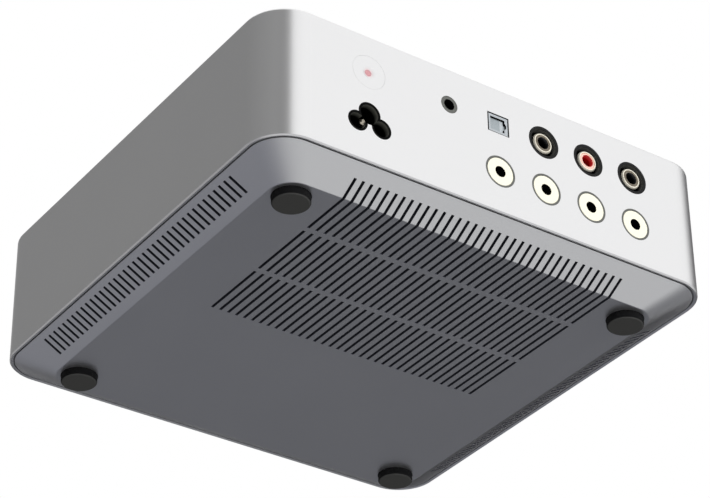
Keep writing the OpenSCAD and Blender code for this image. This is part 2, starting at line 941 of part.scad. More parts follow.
// The heat sink lies on the chips and stands on four legs
module amp_heat_sink() {
    leg_x = amp_sink_w / 2 - amp_sink_leg_inset;
    leg_y = amp_sink_d / 2 - amp_sink_leg_inset;
    color([0.2, 0.2, 0.21])
        on_amp(-1, amp_sink_side, amp_sink_rear) {
            translate([0, 0, chip_h])
                finned_block(amp_sink_w, amp_sink_d, amp_sink_base_t, amp_sink_h, sink_fin_t, amp_sink_fins);
            for (sx = [-1, 1], sy = [-1, 1])
                translate([sx * leg_x, sy * leg_y, 0])
                    cylinder(r = amp_sink_leg_r, h = chip_h + 0.01);
        }
}

module output_inductors() {
    color([0.25, 0.25, 0.26])
        for (x = speaker_xs)
            translate([x + inductor_shift, amp_rear_y - inductor_rear, board_top_z])
                rounded_plate(inductor_w, inductor_w, inductor_h, inductor_corner_r);
}

module amp_capacitors() {
    color([0.13, 0.16, 0.3])
        for (k = [0:2])
            on_amp(1, amp_can_side, amp_can_rear + k * amp_can_pitch)
                standing_can(amp_can_r, amp_can_h);
}

// Terminals that the speaker leads and the mains leads drop into
module wire_terminals() {
    color([0.15, 0.4, 0.25]) {
        for (x = speaker_xs)
            translate([x - terminal_w / 2, speaker_terminal_y - terminal_d / 2, board_top_z])
                cube([terminal_w, terminal_d, terminal_h]);
        for (side = [-1, 1])
            translate([
                service_x + side * inlet_side_x - mains_terminal_w / 2,
                mains_terminal_y - terminal_d / 2,
                board_top_z
            ])
                cube([mains_terminal_w, terminal_d, terminal_h]);
    }
}

// Input board

module io_board() {
    color([0.1, 0.32, 0.18])
        difference() {
            translate([io_x, io_y, io_z])
                rounded_plate(io_board_w, io_board_d, board_t, 1);
            for (p = io_bosses)
                translate([p[0], p[1], io_z - cut])
                    cylinder(r = m25_r + 0.15, h = board_t + 2 * cut);
        }
}

module signal_chips() {
    color([0.12, 0.12, 0.13])
        for (c = signal_chips_at)
            translate([io_left_x + c[0] - c[2] / 2, io_y + c[1] - c[2] / 2, io_top_z])
                cube([c[2], c[2], signal_chip_h]);
}

// A flat cable between a plug under the input board and a plug on the amplifier board
module ribbon_cable() {
    low_z = board_top_z + ribbon_plug_h;
    high_z = io_z - ribbon_plug_h;
    color([0.75, 0.75, 0.78])
        translate([ribbon_x - ribbon_w / 2, ribbon_y, 0]) {
            for (z = [board_top_z, high_z])
                translate([0, -ribbon_plug_d / 2, z])
                    cube([ribbon_w, ribbon_plug_d, ribbon_plug_h]);
            translate([1, -ribbon_t / 2, low_z - 0.01])
                cube([ribbon_w - 2, ribbon_t, high_z - low_z + 0.02]);
        }
}

module mains_leads() {
    run = rear_y - inlet_body_front - inlet_body_len - mains_terminal_y - lead_bend_r;
    drop = inlet_base_z - lead_bend_r - board_top_z - terminal_h;
    color([0.35, 0.2, 0.12])
        for (side = [-1, 1])
            translate([
                service_x + side * inlet_side_x,
                rear_y - inlet_body_front - inlet_body_len,
                inlet_base_z
            ])
                bent_lead(run, drop);
}

module speaker_leads() {
    drop = lower_z - lead_bend_r - board_top_z - terminal_h;
    color([0.6, 0.1, 0.1])
        for (x = speaker_xs)
            translate([x, rear_y - speaker_contact_end, lower_z])
                bent_lead(speaker_lead_run, drop);
}

// Phono sockets

// A collar in the wall with a slot for the plug, and a block that stands on the input board
module phono_body(x) {
    color([0.09, 0.09, 0.09])
        on_rear(x, upper_z)
            difference() {
                union() {
                    cylinder(r = phono_collar_r, h = phono_body_front + 0.01);
                    translate([-phono_body_w / 2, -socket_axis_h, phono_body_front])
                        cube([phono_body_w, socket_axis_h + phono_body_w / 2, phono_body_len]);
                }
                translate([0, 0, -cut])
                    cylinder(r = phono_slot_r, h = phono_slot_depth + cut);
                cylinder(r = phono_sleeve_r + fit_gap, h = phono_body_front);
                cylinder(r = phono_contact_r + fit_gap, h = phono_contact_front + phono_contact_len);
            }
}

module phono_sleeve(x) {
    color([0.85, 0.82, 0.74])
        on_rear(x, upper_z)
            rotate_extrude()
                polygon([
                    [phono_sleeve_bore_r, 0],
                    [phono_sleeve_r - phono_chamfer, 0],
                    [phono_sleeve_r, phono_chamfer * 1.2],
                    [phono_sleeve_r, phono_body_front],
                    [phono_sleeve_bore_r, phono_body_front]
                ]);
}

// The insulator's face is a funnel that leads the plug's pin into the contact
module phono_insulator(x, tint) {
    rim_r = phono_sleeve_bore_r - fit_gap;
    color(tint)
        on_rear(x, upper_z)
            rotate_extrude()
                polygon([
                    [rim_r - 0.3, phono_face],
                    [rim_r, phono_face],
                    [rim_r, phono_body_front],
                    [phono_contact_r + fit_gap, phono_body_front],
                    [phono_contact_r + fit_gap, phono_contact_front],
                    [phono_bore_r + 0.1, phono_contact_front],
                    [phono_bore_r + 0.1, phono_contact_front - 0.4]
                ]);
}

module phono_contacts() {
    color([0.85, 0.7, 0.35])
        for (x = phono_xs)
            on_rear(x, upper_z)
                translate([0, 0, phono_contact_front])
                    difference() {
                        cylinder(r = phono_contact_r, h = phono_contact_len);
                        translate([0, 0, -cut])
                            cylinder(r = phono_bore_r, h = phono_contact_len);
                    }
}

// Speaker sockets

module speaker_bush(x) {
    color([0.96, 0.94, 0.86])
        on_rear(x, lower_z)
            difference() {
                cylinder(r = speaker_bush_r, h = speaker_bush_len);
                translate([0, 0, -cut])
                    cylinder(r = speaker_bore_r, h = speaker_mouth_len + 2 * cut);
                translate([0, 0, speaker_mouth_len])
                    cylinder(r = speaker_barrel_r + fit_gap, h = speaker_bush_len);
            }
}

module speaker_collars() {
    color([0.36, 0.36, 0.35])
        for (x = speaker_xs)
            on_rear(x, lower_z)
                tube(speaker_collar_r, speaker_bush_r + fit_gap, wall_t);
}

module speaker_contacts() {
    closed_end = 1.5;
    color([0.8, 0.75, 0.6])
        for (x = speaker_xs)
            on_rear(x, lower_z)
                translate([0, 0, speaker_mouth_len])
                    difference() {
                        cylinder(r = speaker_barrel_r, h = speaker_contact_end - speaker_mouth_len);
                        translate([0, 0, -cut])
                            cylinder(
                                r = speaker_bore_r,
                                h = speaker_contact_end - speaker_mouth_len - closed_end + cut
                            );
                    }
}

module speaker_nuts() {
    color([0.8, 0.8, 0.8])
        for (x = speaker_xs)
            on_rear(x, lower_z)
                translate([0, 0, wall_t])
                    difference() {
                        rotate([0, 0, 30])
                            cylinder(r = speaker_nut_flats / sqrt(3), h = speaker_nut_t, $fn = 6);
                        translate([0, 0, -cut])
                            cylinder(r = speaker_bush_r + fit_gap, h = speaker_nut_t + 2 * cut);
                    }
}

// Jack socket

module jack_body() {
    color([0.09, 0.09, 0.09])
        on_rear(jack_x, upper_z)
            difference() {
                translate([-jack_body_w / 2, -socket_axis_h, jack_nose_len])
                    cube([jack_body_w, socket_axis_h + jack_body_w / 2, jack_body_len]);
                cylinder(r = jack_bore_r, h = jack_nose_len + jack_body_len - 1.5);
            }
}

module jack_ring() {
    color([0.5, 0.5, 0.5])
        on_rear(jack_x, upper_z)
            tube(jack_ring_r, jack_bore_r, jack_nose_len);
}

// Optical socket

// Size of the opening in the nose's front frame
optical_mouth_h = optical_h - optical_mouth_bottom - optical_mouth_top;
optical_mouth_z = optical_mouth_bottom - optical_h / 2;

module optical_housing() {
    roof = optical_h / 2 - optical_roof_t;
    floor_level = optical_mouth_z - 0.25;
    color([0.74, 0.76, 0.78])
        on_rear(first_socket_x, upper_z)
            difference() {
                union() {
                    translate([-optical_w / 2, -optical_h / 2, 0])
                        cube([optical_w, optical_h, optical_block_front + 0.01]);
                    translate([-optical_block_w / 2, -socket_axis_h, optical_block_front])
                        cube([optical_block_w, socket_axis_h + optical_block_top, optical_block_len]);
                }
                translate([-optical_mouth_w / 2, optical_mouth_z, -cut])
                    cube([optical_mouth_w, optical_mouth_h, optical_frame_t + 2 * cut]);
                translate([-optical_cavity_w / 2, floor_level, optical_frame_t])
                    cube([optical_cavity_w, roof - floor_level, optical_cavity_len]);
                translate([0, 0, optical_frame_t + optical_cavity_len - 0.01])
                    linear_extrude(optical_block_front + optical_block_len)
                        square(optical_receiver_size + 2 * optical_receiver_gap, center = true);
                translate([0, shutter_pivot_z - upper_z, shutter_depth])
                    rotate([0, 90, 0])
                        cylinder(r = shutter_pin_r + shutter_pin_gap, h = optical_w + 2 * cut, center = true);
            }
}

// A door that hangs from a pin at its top and swings inwards
module optical_shutter() {
    knuckle = shutter_pivot_z - upper_z;
    color([0.78, 0.8, 0.82])
        on_rear(first_socket_x, upper_z) {
            translate([-shutter_w / 2, shutter_bottom_z - upper_z, shutter_depth - shutter_t / 2])
                cube([shutter_w, shutter_pivot_z - shutter_bottom_z, shutter_t]);
            translate([0, knuckle, shutter_depth])
                rotate([0, 90, 0])
                    cylinder(r = shutter_knuckle_r, h = shutter_w, center = true);
            translate([0, knuckle, shutter_depth])
                rotate([0, 90, 0])
                    cylinder(r = shutter_pin_r, h = optical_w - 0.1, center = true);
        }
}

module optical_receiver() {
    lens_len = 1;
    color([0.15, 0.15, 0.16])
        on_rear(first_socket_x, upper_z)
            translate([0, 0, optical_receiver_front]) {
                linear_extrude(optical_receiver_len)
                    square(optical_receiver_size, center = true);
                translate([0, 0, -lens_len])
                    cylinder(r = optical_lens_r, h = lens_len + 0.01);
            }
}

// Mains inlet

module mains_inlet() {
    color([0.07, 0.07, 0.07])
        on_rear(service_x, inlet_base_z)
            difference() {
                union() {
                    linear_extrude(inlet_body_front + 0.01)
                        clover(0);
                    translate([0, inlet_lobe_rise / 2, inlet_body_front])
                        rounded_plate(inlet_body_w, inlet_body_h, inlet_body_len, 2);
                    translate([0, inlet_lobe_rise / 2, inlet_body_front])
                        linear_extrude(inlet_ear_t) {
                            square([2 * inlet_ear_x, 2 * inlet_ear_r], center = true);
                            for (side = [-1, 1])
                                translate([side * inlet_ear_x, 0])
                                    circle(inlet_ear_r);
                        }
                }
                translate([0, 0, -cut])
                    linear_extrude(inlet_slot_depth + cut)
                        clover(-inlet_wall);
                for (side = [-1, 1]) {
                    translate([side * inlet_ear_x, inlet_lobe_rise / 2, 0])
                        cylinder(r = m25_r + 0.15, h = inlet_body_front + inlet_ear_t + cut);
                    translate([side * inlet_side_x, 0, 0])
                        cylinder(r = inlet_pin_r + fit_gap, h = inlet_body_front + inlet_body_len + cut);
                }
                translate([0, inlet_lobe_rise - inlet_earth_drop, 0])
                    cylinder(r = inlet_pin_r + fit_gap, h = inlet_body_front + inlet_body_len + cut);
            }
}

module inlet_pin(x, z, recess) {
    end = inlet_body_front + inlet_body_len;
    tip = inlet_pin_r * 0.5;
    translate([x, z, recess])
        rotate_extrude()
            polygon([
                [0, 0],
                [inlet_pin_r - tip, 0],
                [inlet_pin_r, tip],
                [inlet_pin_r, end - recess],
                [0, end - recess]
            ]);
}

module inlet_pins() {
    color([0.85, 0.83, 0.75])
        on_rear(service_x, inlet_base_z) {
            inlet_pin(-inlet_side_x, 0, inlet_line_recess);
            inlet_pin(inlet_side_x, 0, inlet_line_recess);
            inlet_pin(0, inlet_lobe_rise - inlet_earth_drop, inlet_earth_recess);
        }
}

// Push button

module button_cap() {
    edge = 0.25;
    color([0.82, 0.83, 0.84])
        on_rear(service_x, upper_z)
            difference() {
                union() {
                    rotate_extrude()
                        polygon([
                            [0, 0],
                            [button_r - edge, 0],
                            [button_r, edge],
                            [button_r, button_flange_front + 0.01],
                            [0, button_flange_front + 0.01]
                        ]);
                    translate([0, 0, button_flange_front])
                        cylinder(r = button_flange_r, h = button_flange_t);
                    translate([0, 0, button_flange_front])
                        cylinder(r = button_stem_r, h = button_stem_end - button_flange_front);
                    translate([button_finger_x, 0, button_flange_front])
                        cylinder(r = button_finger_r, h = plunger_front - button_flange_front);
                }
                translate([0, 0, -cut])
                    cylinder(r = lens_r + fit_gap, h = button_stem_end + 2 * cut);
            }
}

module button_lens() {
    color([0.9, 0.15, 0.15])
        on_rear(service_x, upper_z)
            cylinder(r = lens_r, h = button_stem_end);
}

module switch_plunger() {
    color([0.1, 0.1, 0.1])
        on_rear(service_x, upper_z)
            translate([button_finger_x, 0, plunger_front])
                cylinder(r = plunger_r, h = plunger_len);
}

// The switch and the lamp on the button's board
module button_switch() {
    color([0.2, 0.2, 0.2])
        on_rear(service_x, upper_z) {
            difference() {
                translate([button_finger_x - switch_size / 2, -switch_size / 2, switch_front])
                    cube([switch_size, switch_size, button_board_front - switch_front]);
                translate([button_finger_x, 0, switch_front - cut])
                    cylinder(r = plunger_r + 0.08, h = cut + switch_bore_end - switch_front);
            }
            translate([0, 0, lamp_front])
                cylinder(r = lamp_r, h = button_board_front - lamp_front);
        }
}

module button_board() {
    color([0.1, 0.32, 0.18])
        on_rear(service_x, upper_z)
            translate([0, 0, button_board_front])
                difference() {
                    translate([-button_board_left, -button_board_h / 2, 0])
                        cube([button_board_left + button_board_right, button_board_h, board_t]);
                    for (side = [-1, 1])
                        translate([button_boss_x, side * button_boss_z, -cut])
                            cylinder(r = m25_r + 0.15, h = board_t + 2 * cut);
                }
}

shell();
base_tray();
foot(1, -1);  // foot_front_left
foot(-1, -1);  // foot_front_right
foot(1, 1);  // foot_rear_left
foot(-1, 1);  // foot_rear_right
tray_screws();
board_standoffs();
board_screws();
small_screws();
psu_board();
mains_fuse();
mains_choke();
x_capacitor();
bridge_rectifier();
bulk_capacitors();
transformer_core();
transformer_winding();
psu_heat_sink();
supply_capacitors();
amp_board();
amp_chips();
amp_heat_sink();
output_inductors();
amp_capacitors();
wire_terminals();
io_board();
signal_chips();
ribbon_cable();
mains_leads();
speaker_leads();
phono_body(phono_xs[0]);  // phono_body_sub
phono_body(phono_xs[1]);  // phono_body_right
phono_body(phono_xs[2]);  // phono_body_left
phono_sleeve(phono_xs[0]);  // phono_sleeve_sub
phono_sleeve(phono_xs[1]);  // phono_sleeve_right
phono_sleeve(phono_xs[2]);  // phono_sleeve_left
phono_insulator(phono_xs[0], [0.1, 0.1, 0.1]);  // phono_insulator_sub
phono_insulator(phono_xs[1], [0.75, 0.12, 0.1]);  // phono_insulator_right
phono_insulator(phono_xs[2], [0.1, 0.1, 0.1]);  // phono_insulator_left
phono_contacts();
speaker_bush(speaker_xs[0]);  // speaker_bush_1
speaker_bush(speaker_xs[1]);  // speaker_bush_2
speaker_bush(speaker_xs[2]);  // speaker_bush_3
speaker_bush(speaker_xs[3]);  // speaker_bush_4
speaker_collars();
speaker_contacts();
speaker_nuts();
jack_body();
jack_ring();
optical_housing();
optical_shutter();
optical_receiver();
mains_inlet();
inlet_pins();
button_cap();
button_lens();
switch_plunger();
button_switch();
button_board();
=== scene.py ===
# %% [markdown]
# # A compact stereo amplifier, seen from behind and below
#
# The real object is a low, square aluminium box. One shell makes its top and all four
# sides, a vented tray closes it from below, and it stands on four rubber feet. The rear
# wall carries the sockets and one push button.
#
# The measured parts come from the CAD model, already in place. This lesson loads them,
# gives each one the finish of its real material, and adds the fine shapes that a
# camera sees but a machinist's drawing leaves out.

# %% Load the measured model
import math

import bmesh
import bpy
from mathutils import Matrix, Vector


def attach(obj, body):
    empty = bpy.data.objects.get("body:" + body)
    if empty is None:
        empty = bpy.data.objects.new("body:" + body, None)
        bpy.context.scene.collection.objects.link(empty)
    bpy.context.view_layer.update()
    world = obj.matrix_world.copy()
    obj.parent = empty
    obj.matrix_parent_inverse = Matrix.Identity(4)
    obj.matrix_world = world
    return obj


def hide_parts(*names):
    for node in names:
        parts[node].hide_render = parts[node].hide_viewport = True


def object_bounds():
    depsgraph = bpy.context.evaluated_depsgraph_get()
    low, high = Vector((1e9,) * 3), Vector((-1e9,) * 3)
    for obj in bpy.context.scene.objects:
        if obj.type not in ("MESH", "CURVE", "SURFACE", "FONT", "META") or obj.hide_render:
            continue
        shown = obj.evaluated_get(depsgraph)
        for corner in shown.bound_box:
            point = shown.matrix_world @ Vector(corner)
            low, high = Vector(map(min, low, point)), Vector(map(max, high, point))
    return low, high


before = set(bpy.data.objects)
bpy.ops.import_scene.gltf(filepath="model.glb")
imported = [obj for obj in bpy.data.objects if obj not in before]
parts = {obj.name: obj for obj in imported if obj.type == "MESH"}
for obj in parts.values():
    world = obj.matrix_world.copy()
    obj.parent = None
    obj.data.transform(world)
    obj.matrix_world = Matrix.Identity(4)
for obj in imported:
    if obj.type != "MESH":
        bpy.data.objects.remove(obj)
cad_low, cad_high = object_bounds()
case_width = cad_high.x - cad_low.x
print("parts:", len(parts), "size in mm:", [round(s * 1000, 1) for s in cad_high - cad_low])

# %% [markdown]
# ## The camera
#
# The photographer stood behind the amplifier, off its left-hand corner, and held it so
# that its underside faces the lens. The angles below were worked out from the corners
# of the case, the feet and the evenly spaced sockets. A long lens keeps the rows of
# slots nearly parallel, as they are in the photograph.

# %% Place the camera
view_azimuth = math.radians(145.210)
view_elevation = math.radians(-32.653)
view_roll = math.radians(-0.6726)
view_distance = 0.90297
slide_right = -0.00258
slide_up = -0.02871
lens_mm = 131.82
sensor_mm = 36.0
rim_height = 0.0095

toward_camera = Vector((
    math.sin(view_azimuth) * math.cos(view_elevation),
    -math.cos(view_azimuth) * math.cos(view_elevation),
    math.sin(view_elevation),
))
level_right = (-toward_camera).cross(Vector((0, 0, 1))).normalized()
level_up = level_right.cross(-toward_camera)
frame_right = math.cos(view_roll) * level_right + math.sin(view_roll) * level_up
frame_up = -math.sin(view_roll) * level_right + math.cos(view_roll) * level_up
camera_place = toward_camera * view_distance - frame_right * slide_right - frame_up * slide_up
camera_place.z += rim_height

camera_data = bpy.data.cameras.new("camera")
camera_data.lens = lens_mm
camera_data.sensor_width = sensor_mm
camera_data.sensor_fit = "HORIZONTAL"
camera_data.clip_start = 0.01
camera_data.clip_end = 20
camera = bpy.data.objects.new("camera", camera_data)
camera.matrix_world = Matrix((
    (frame_right.x, frame_up.x, toward_camera.x, camera_place.x),
    (frame_right.y, frame_up.y, toward_camera.y, camera_place.y),
    (frame_right.z, frame_up.z, toward_camera.z, camera_place.z),
    (0, 0, 0, 1),
))
bpy.context.scene.collection.objects.link(camera)
bpy.context.scene.camera = camera
print("camera at", [round(v, 4) for v in camera_place])

# %% [markdown]
# ## Soft studio light
#
# One broad light stands behind the amplifier and lights its sockets evenly. Weaker
# ones reach round the side, under the case, and over the top and front, which the
# photograph doesn't show. Wide sun lamps give soft light of the same strength
# everywhere. They light the matt surfaces only: what the metal shows is the room.

# %% Light the studio
def add_soft_light(name, from_direction, strength, spread_degrees):
    lamp = bpy.data.lights.new(name, "SUN")
    lamp.energy = strength
    lamp.angle = math.radians(spread_degrees)
    light = bpy.data.objects.new(name, lamp)
    light.rotation_euler = Vector(from_direction).to_track_quat("Z", "Y").to_euler()
    light.visible_glossy = False
    bpy.context.scene.collection.objects.link(light)
    return light


add_soft_light("key_behind", (-0.15, 1.0, 0.05), 3.1, 40)
add_soft_light("wrap_side", (0.75, 0.25, -0.55), 0.45, 70)
add_soft_light("fill_front", (-0.6, -0.8, 0.45), 2.0, 60)
add_soft_light("fill_top", (0.1, 0.1, 1.0), 1.6, 60)

view_settings = bpy.context.scene.view_settings
view_settings.view_transform = "Standard"

# %% [markdown]
# The photograph's background is pure white. The world shows white to the camera and to
# reflections, but sheds only a little light, so that the dark underside stays dark. One
# helper makes every sum in this lesson's node trees: it takes numbers and sockets alike.

# %% Set the background
def arithmetic(tree, operation, first, second=None, third=None):
    node = tree.nodes.new("ShaderNodeMath")
    node.operation = operation
    for socket, value in zip(node.inputs, (first, second, third)):
        if value is None:
            continue
        if isinstance(value, (int, float)):
            socket.default_value = value
        else:
            tree.links.new(value, socket)
    return node.outputs[0]


room_strength = 0.08
world = bpy.data.worlds.new("studio")
bpy.context.scene.world = world
world.use_nodes = True
world_tree = world.node_tree
world_tree.nodes.clear()
world_out = world_tree.nodes.new("ShaderNodeOutputWorld")
seen_white = world_tree.nodes.new("ShaderNodeBackground")
seen_white.inputs["Color"].default_value = (1, 1, 1, 1)
seen_white.inputs["Strength"].default_value = 1.0
room_light = world_tree.nodes.new("ShaderNodeBackground")
room_light.inputs["Color"].default_value = (1, 1, 1, 1)
room_light.inputs["Strength"].default_value = room_strength
world_rays = world_tree.nodes.new("ShaderNodeLightPath").outputs
camera_or_gloss = arithmetic(
    world_tree, "MAXIMUM", world_rays["Is Camera Ray"], world_rays["Is Glossy Ray"],
)
any_seen = arithmetic(
    world_tree, "MAXIMUM", camera_or_gloss, world_rays["Is Transmission Ray"],
)
pick_background = world_tree.nodes.new("ShaderNodeMixShader")
world_tree.links.new(any_seen, pick_background.inputs[0])
world_tree.links.new(room_light.outputs[0], pick_background.inputs[1])
world_tree.links.new(seen_white.outputs[0], pick_background.inputs[2])
world_tree.links.new(pick_background.outputs[0], world_out.inputs["Surface"])
print("room light:", room_strength)

# %% [markdown]
# A photographer shapes bare metal with grey cards: the metal is as bright as what it
# mirrors. Behind the amplifier only the white world is left to mirror, and grey cards
# stand beside it, in front of it and below it. They are why the rear wall is bright, why
# the round corner turns dark so suddenly, and why the underside is the darkest face. The
# cards show in reflections only.

# %% Write the helper for grey cards
def add_card(name, corners, colour):
    card_mesh = bpy.data.meshes.new(name)
    card_shape = bmesh.new()
    card_shape.faces.new([card_shape.verts.new(corner) for corner in corners])
    card_shape.to_mesh(card_mesh)
    card_shape.free()
    card_look = bpy.data.materials.new(name)
    card_look.use_nodes = True
    card_nodes = card_look.node_tree.nodes
    card_nodes.clear()
    card_out = card_nodes.new("ShaderNodeOutputMaterial")
    card_tone = card_nodes.new("ShaderNodeEmission")
    card_tone.inputs["Color"].default_value = (*colour, 1)
    card_look.node_tree.links.new(card_tone.outputs[0], card_out.inputs["Surface"])
    card_mesh.materials.append(card_look)
    card = bpy.data.objects.new(name, card_mesh)
    card.visible_camera = False
    card.visible_diffuse = False
    card.visible_shadow = False
    card.visible_transmission = False
    bpy.context.scene.collection.objects.link(card)
    return card


print("cards can be made from corners and a tone")

# %% [markdown]
# The upright cards are listed by the places where they meet, seen from above, in metres
# from the amplifier. Each spans two of those places and two heights.

# %% Stand the upright cards
rear_end = (0.85, 2.6)
side_rear = (2.6, 2.2)
side_front = (2.6, -2.7)
strip_end = (1.2, -2.7)
front_middle = (0.0, -2.7)
front_turn = (-1.95, -2.7)
front_far = (-2.3, -2.7)
far_turn = (-2.42, -1.9)
far_middle = (-2.7, 0.0)
far_back = (-2.7, 0.7)

card_low = -0.9
card_high = 4.5
front_high = 3.0
front_split = 1.2
strip_low = -2.2
strip_high = -0.15

near_side_tone = (0.172, 0.172, 0.172)
side_tone = (0.232, 0.232, 0.232)
front_tone = (0.10, 0.10, 0.105)
dark_tone = (0.02, 0.02, 0.023)
light_tone = (0.42, 0.42, 0.42)

upright_cards = [
    ("card_rear_side", rear_end, side_rear, card_low, card_high, near_side_tone),
    ("card_side", side_rear, side_front, strip_high, card_high, side_tone),
    ("card_side_strip", side_rear, side_front, strip_low, strip_high, light_tone),
    ("card_front_side", side_front, front_middle, strip_high, card_high, side_tone),
    ("card_front_strip", side_front, strip_end, strip_low, strip_high, light_tone),
    ("card_front_low", strip_end, front_middle, card_low, strip_high, side_tone),
    ("card_front", front_middle, front_turn, card_low, front_split, front_tone),
    ("card_front_corner", front_turn, front_far, card_low, front_split, dark_tone),
    ("card_front_upper", front_middle, front_far, front_split, front_high, light_tone),
    ("card_far_side", front_far, far_middle, card_low, front_split, dark_tone),
    ("card_far_corner", front_far, far_turn, front_split, front_high, light_tone),
    ("card_far_upper", far_turn, far_middle, front_split, front_high, dark_tone),
    ("card_far_back", far_middle, far_back, card_low, card_high, light_tone),
]
for name, start, end, low, high, colour in upright_cards:
    add_card(name, [(*start, low), (*end, low), (*end, high), (*start, high)], colour)
print("upright cards:", len(upright_cards))

# %% [markdown]
# Three cards lie flat, far below. The edge that they share crosses from side to side, a
# little in front of the amplifier: in front of that edge the metal sees dark grey, and
# behind it a light card that brightens the rear band. Towards the far side the edge
# slants to the rear, which darkens the far corner.

# %% Lay the cards below
below_height = -2.4
below_reach = 6
below_front = -8
below_back = 3.0
below_edge = -0.3
below_split = -0.7
slant_start = -1.8
slant_end = -2.3
far_edge = 0.05
below_tone = (0.115, 0.118, 0.132)
below_side_tone = (0.184, 0.189, 0.217)
below_back_tone = (0.56, 0.565, 0.575)

slanted_edge = [(slant_start, below_edge), (slant_end, far_edge), (-below_reach, far_edge)]
low_cards = {
    "card_below": ([
        (-below_reach, below_front), (below_split, below_front), (below_split, below_edge),
        *slanted_edge,
    ], below_tone),
    "card_below_side": ([
        (below_split, below_front), (below_reach, below_front),
        (below_reach, below_edge), (below_split, below_edge),
    ], below_side_tone),
    "card_below_back": ([
        *reversed(slanted_edge),
        (below_reach, below_edge), (below_reach, below_back), (-below_reach, below_back),
    ], below_back_tone),
}
for name, (outline, colour) in low_cards.items():
    add_card(name, [(x, y, below_height) for x, y in outline], colour)
print("cards below:", len(low_cards))

# %% [markdown]
# A pale floor carries the amplifier in every view from above. From below it would hide
# the underside, so its back is clear. It still takes the object's shadow on its front.
# The metal's sides mirror the floor around the case, but the photograph was taken with
# nothing close under it, so the metal doesn't see the patch that the case stands on.

# %% Lay the floor
floor_half = 3.0
floor_drop = 0.0002
clear_border = 0.3
floor_grey = 0.86
floor_mesh = bpy.data.meshes.new("floor")
floor_shape = bmesh.new()
bmesh.ops.create_grid(floor_shape, x_segments=1, y_segments=1, size=floor_half)
bmesh.ops.translate(floor_shape, verts=floor_shape.verts, vec=(0, 0, -floor_drop))
floor_shape.to_mesh(floor_mesh)
floor_shape.free()
floor = bpy.data.objects.new("floor", floor_mesh)
bpy.context.scene.collection.objects.link(floor)
print("floor:", floor_half * 2, "m square")

# %% [markdown]
# The floor's material mixes paint and clear air. The mask is one where a camera ray
# meets the front of the floor, or where a reflection meets it outside the patch.

# %% Paint the floor
floor_look = bpy.data.materials.new("pale_floor")
floor_look.use_nodes = True
floor_tree = floor_look.node_tree
floor_tree.nodes.clear()
floor_out = floor_tree.nodes.new("ShaderNodeOutputMaterial")
floor_paint = floor_tree.nodes.new("ShaderNodeBsdfDiffuse")
floor_paint.inputs["Color"].default_value = (floor_grey, floor_grey, floor_grey, 1)
floor_clear = floor_tree.nodes.new("ShaderNodeBsdfTransparent")
back_side = floor_tree.nodes.new("ShaderNodeNewGeometry").outputs["Backfacing"]
floor_rays = floor_tree.nodes.new("ShaderNodeLightPath").outputs
floor_place = floor_tree.nodes.new("ShaderNodeTexCoord").outputs["Object"]
floor_axes = floor_tree.nodes.new("ShaderNodeSeparateXYZ")
floor_tree.links.new(floor_place, floor_axes.inputs[0])
front_side = arithmetic(floor_tree, "SUBTRACT", 1.0, back_side)
across = arithmetic(floor_tree, "ABSOLUTE", floor_axes.outputs["X"])
along = arithmetic(floor_tree, "ABSOLUTE", floor_axes.outputs["Y"])
farthest = arithmetic(floor_tree, "MAXIMUM", across, along)
outside_case = arithmetic(floor_tree, "GREATER_THAN", farthest, case_width / 2 + clear_border)
mirrored = arithmetic(floor_tree, "MULTIPLY", floor_rays["Is Glossy Ray"], outside_case)
floor_ray = arithmetic(floor_tree, "MAXIMUM", floor_rays["Is Camera Ray"], mirrored)
seen_front = arithmetic(floor_tree, "MULTIPLY", front_side, floor_ray)
pick_floor = floor_tree.nodes.new("ShaderNodeMixShader")
floor_tree.links.new(seen_front, pick_floor.inputs[0])
floor_tree.links.new(floor_clear.outputs[0], pick_floor.inputs[1])
floor_tree.links.new(floor_paint.outputs[0], pick_floor.inputs[2])
floor_tree.links.new(pick_floor.outputs[0], floor_out.inputs["Surface"])
floor_mesh.materials.append(floor_look)
print("floor's look:", floor_look.name)

# %% [markdown]
# ## A shared fine grain
#
# Blasted aluminium, moulded plastic and rubber all have a grain, about a millimetre wide
# or much finer, and a slow drift of tone over centimetres. Both come from noise on Object
# coordinates, so they stay on the surface when the part moves. The group gives a colour,
# a roughness and a height. Each material sets its own amounts.

# %% Build the grain group
drift_scale = 22.0
grain = bpy.data.node_groups.new("fine_grain", "ShaderNodeTree")
group_inputs = [
    ("Colour", "NodeSocketColor", (0.5, 0.5, 0.5, 1)),
    ("Tone Drift", "NodeSocketFloat", 0.05),
    ("Speckle", "NodeSocketFloat", 0.05),
    ("Grain Scale", "NodeSocketFloat", 3000.0),
    ("Roughness", "NodeSocketFloat", 0.5),
    ("Roughness Drift", "NodeSocketFloat", 0.1),
]
for title, kind, value in group_inputs:
    socket = grain.interface.new_socket(title, in_out="INPUT", socket_type=kind)
    socket.default_value = value
group_outputs = {
    "Colour": "NodeSocketColor",
    "Roughness": "NodeSocketFloat",
    "Height": "NodeSocketFloat",
}
for title, kind in group_outputs.items():
    grain.interface.new_socket(title, in_out="OUTPUT", socket_type=kind)
grain_in = grain.nodes.new("NodeGroupInput").outputs
grain_out = grain.nodes.new("NodeGroupOutput").inputs
grain_place = grain.nodes.new("ShaderNodeTexCoord").outputs["Object"]
slow_noise = grain.nodes.new("ShaderNodeTexNoise")
slow_noise.inputs["Scale"].default_value = drift_scale
slow_noise.inputs["Detail"].default_value = 2.0
grain.links.new(grain_place, slow_noise.inputs["Vector"])
fine_noise = grain.nodes.new("ShaderNodeTexNoise")
fine_noise.inputs["Detail"].default_value = 3.0
grain.links.new(grain_place, fine_noise.inputs["Vector"])
grain.links.new(grain_in["Grain Scale"], fine_noise.inputs["Scale"])
print("group:", grain.name)

# %% [markdown]
# Noise swings about one half. Taken off, that leaves a value that darkens as often as it
# lightens, so a finish keeps its mean colour and its mean roughness.

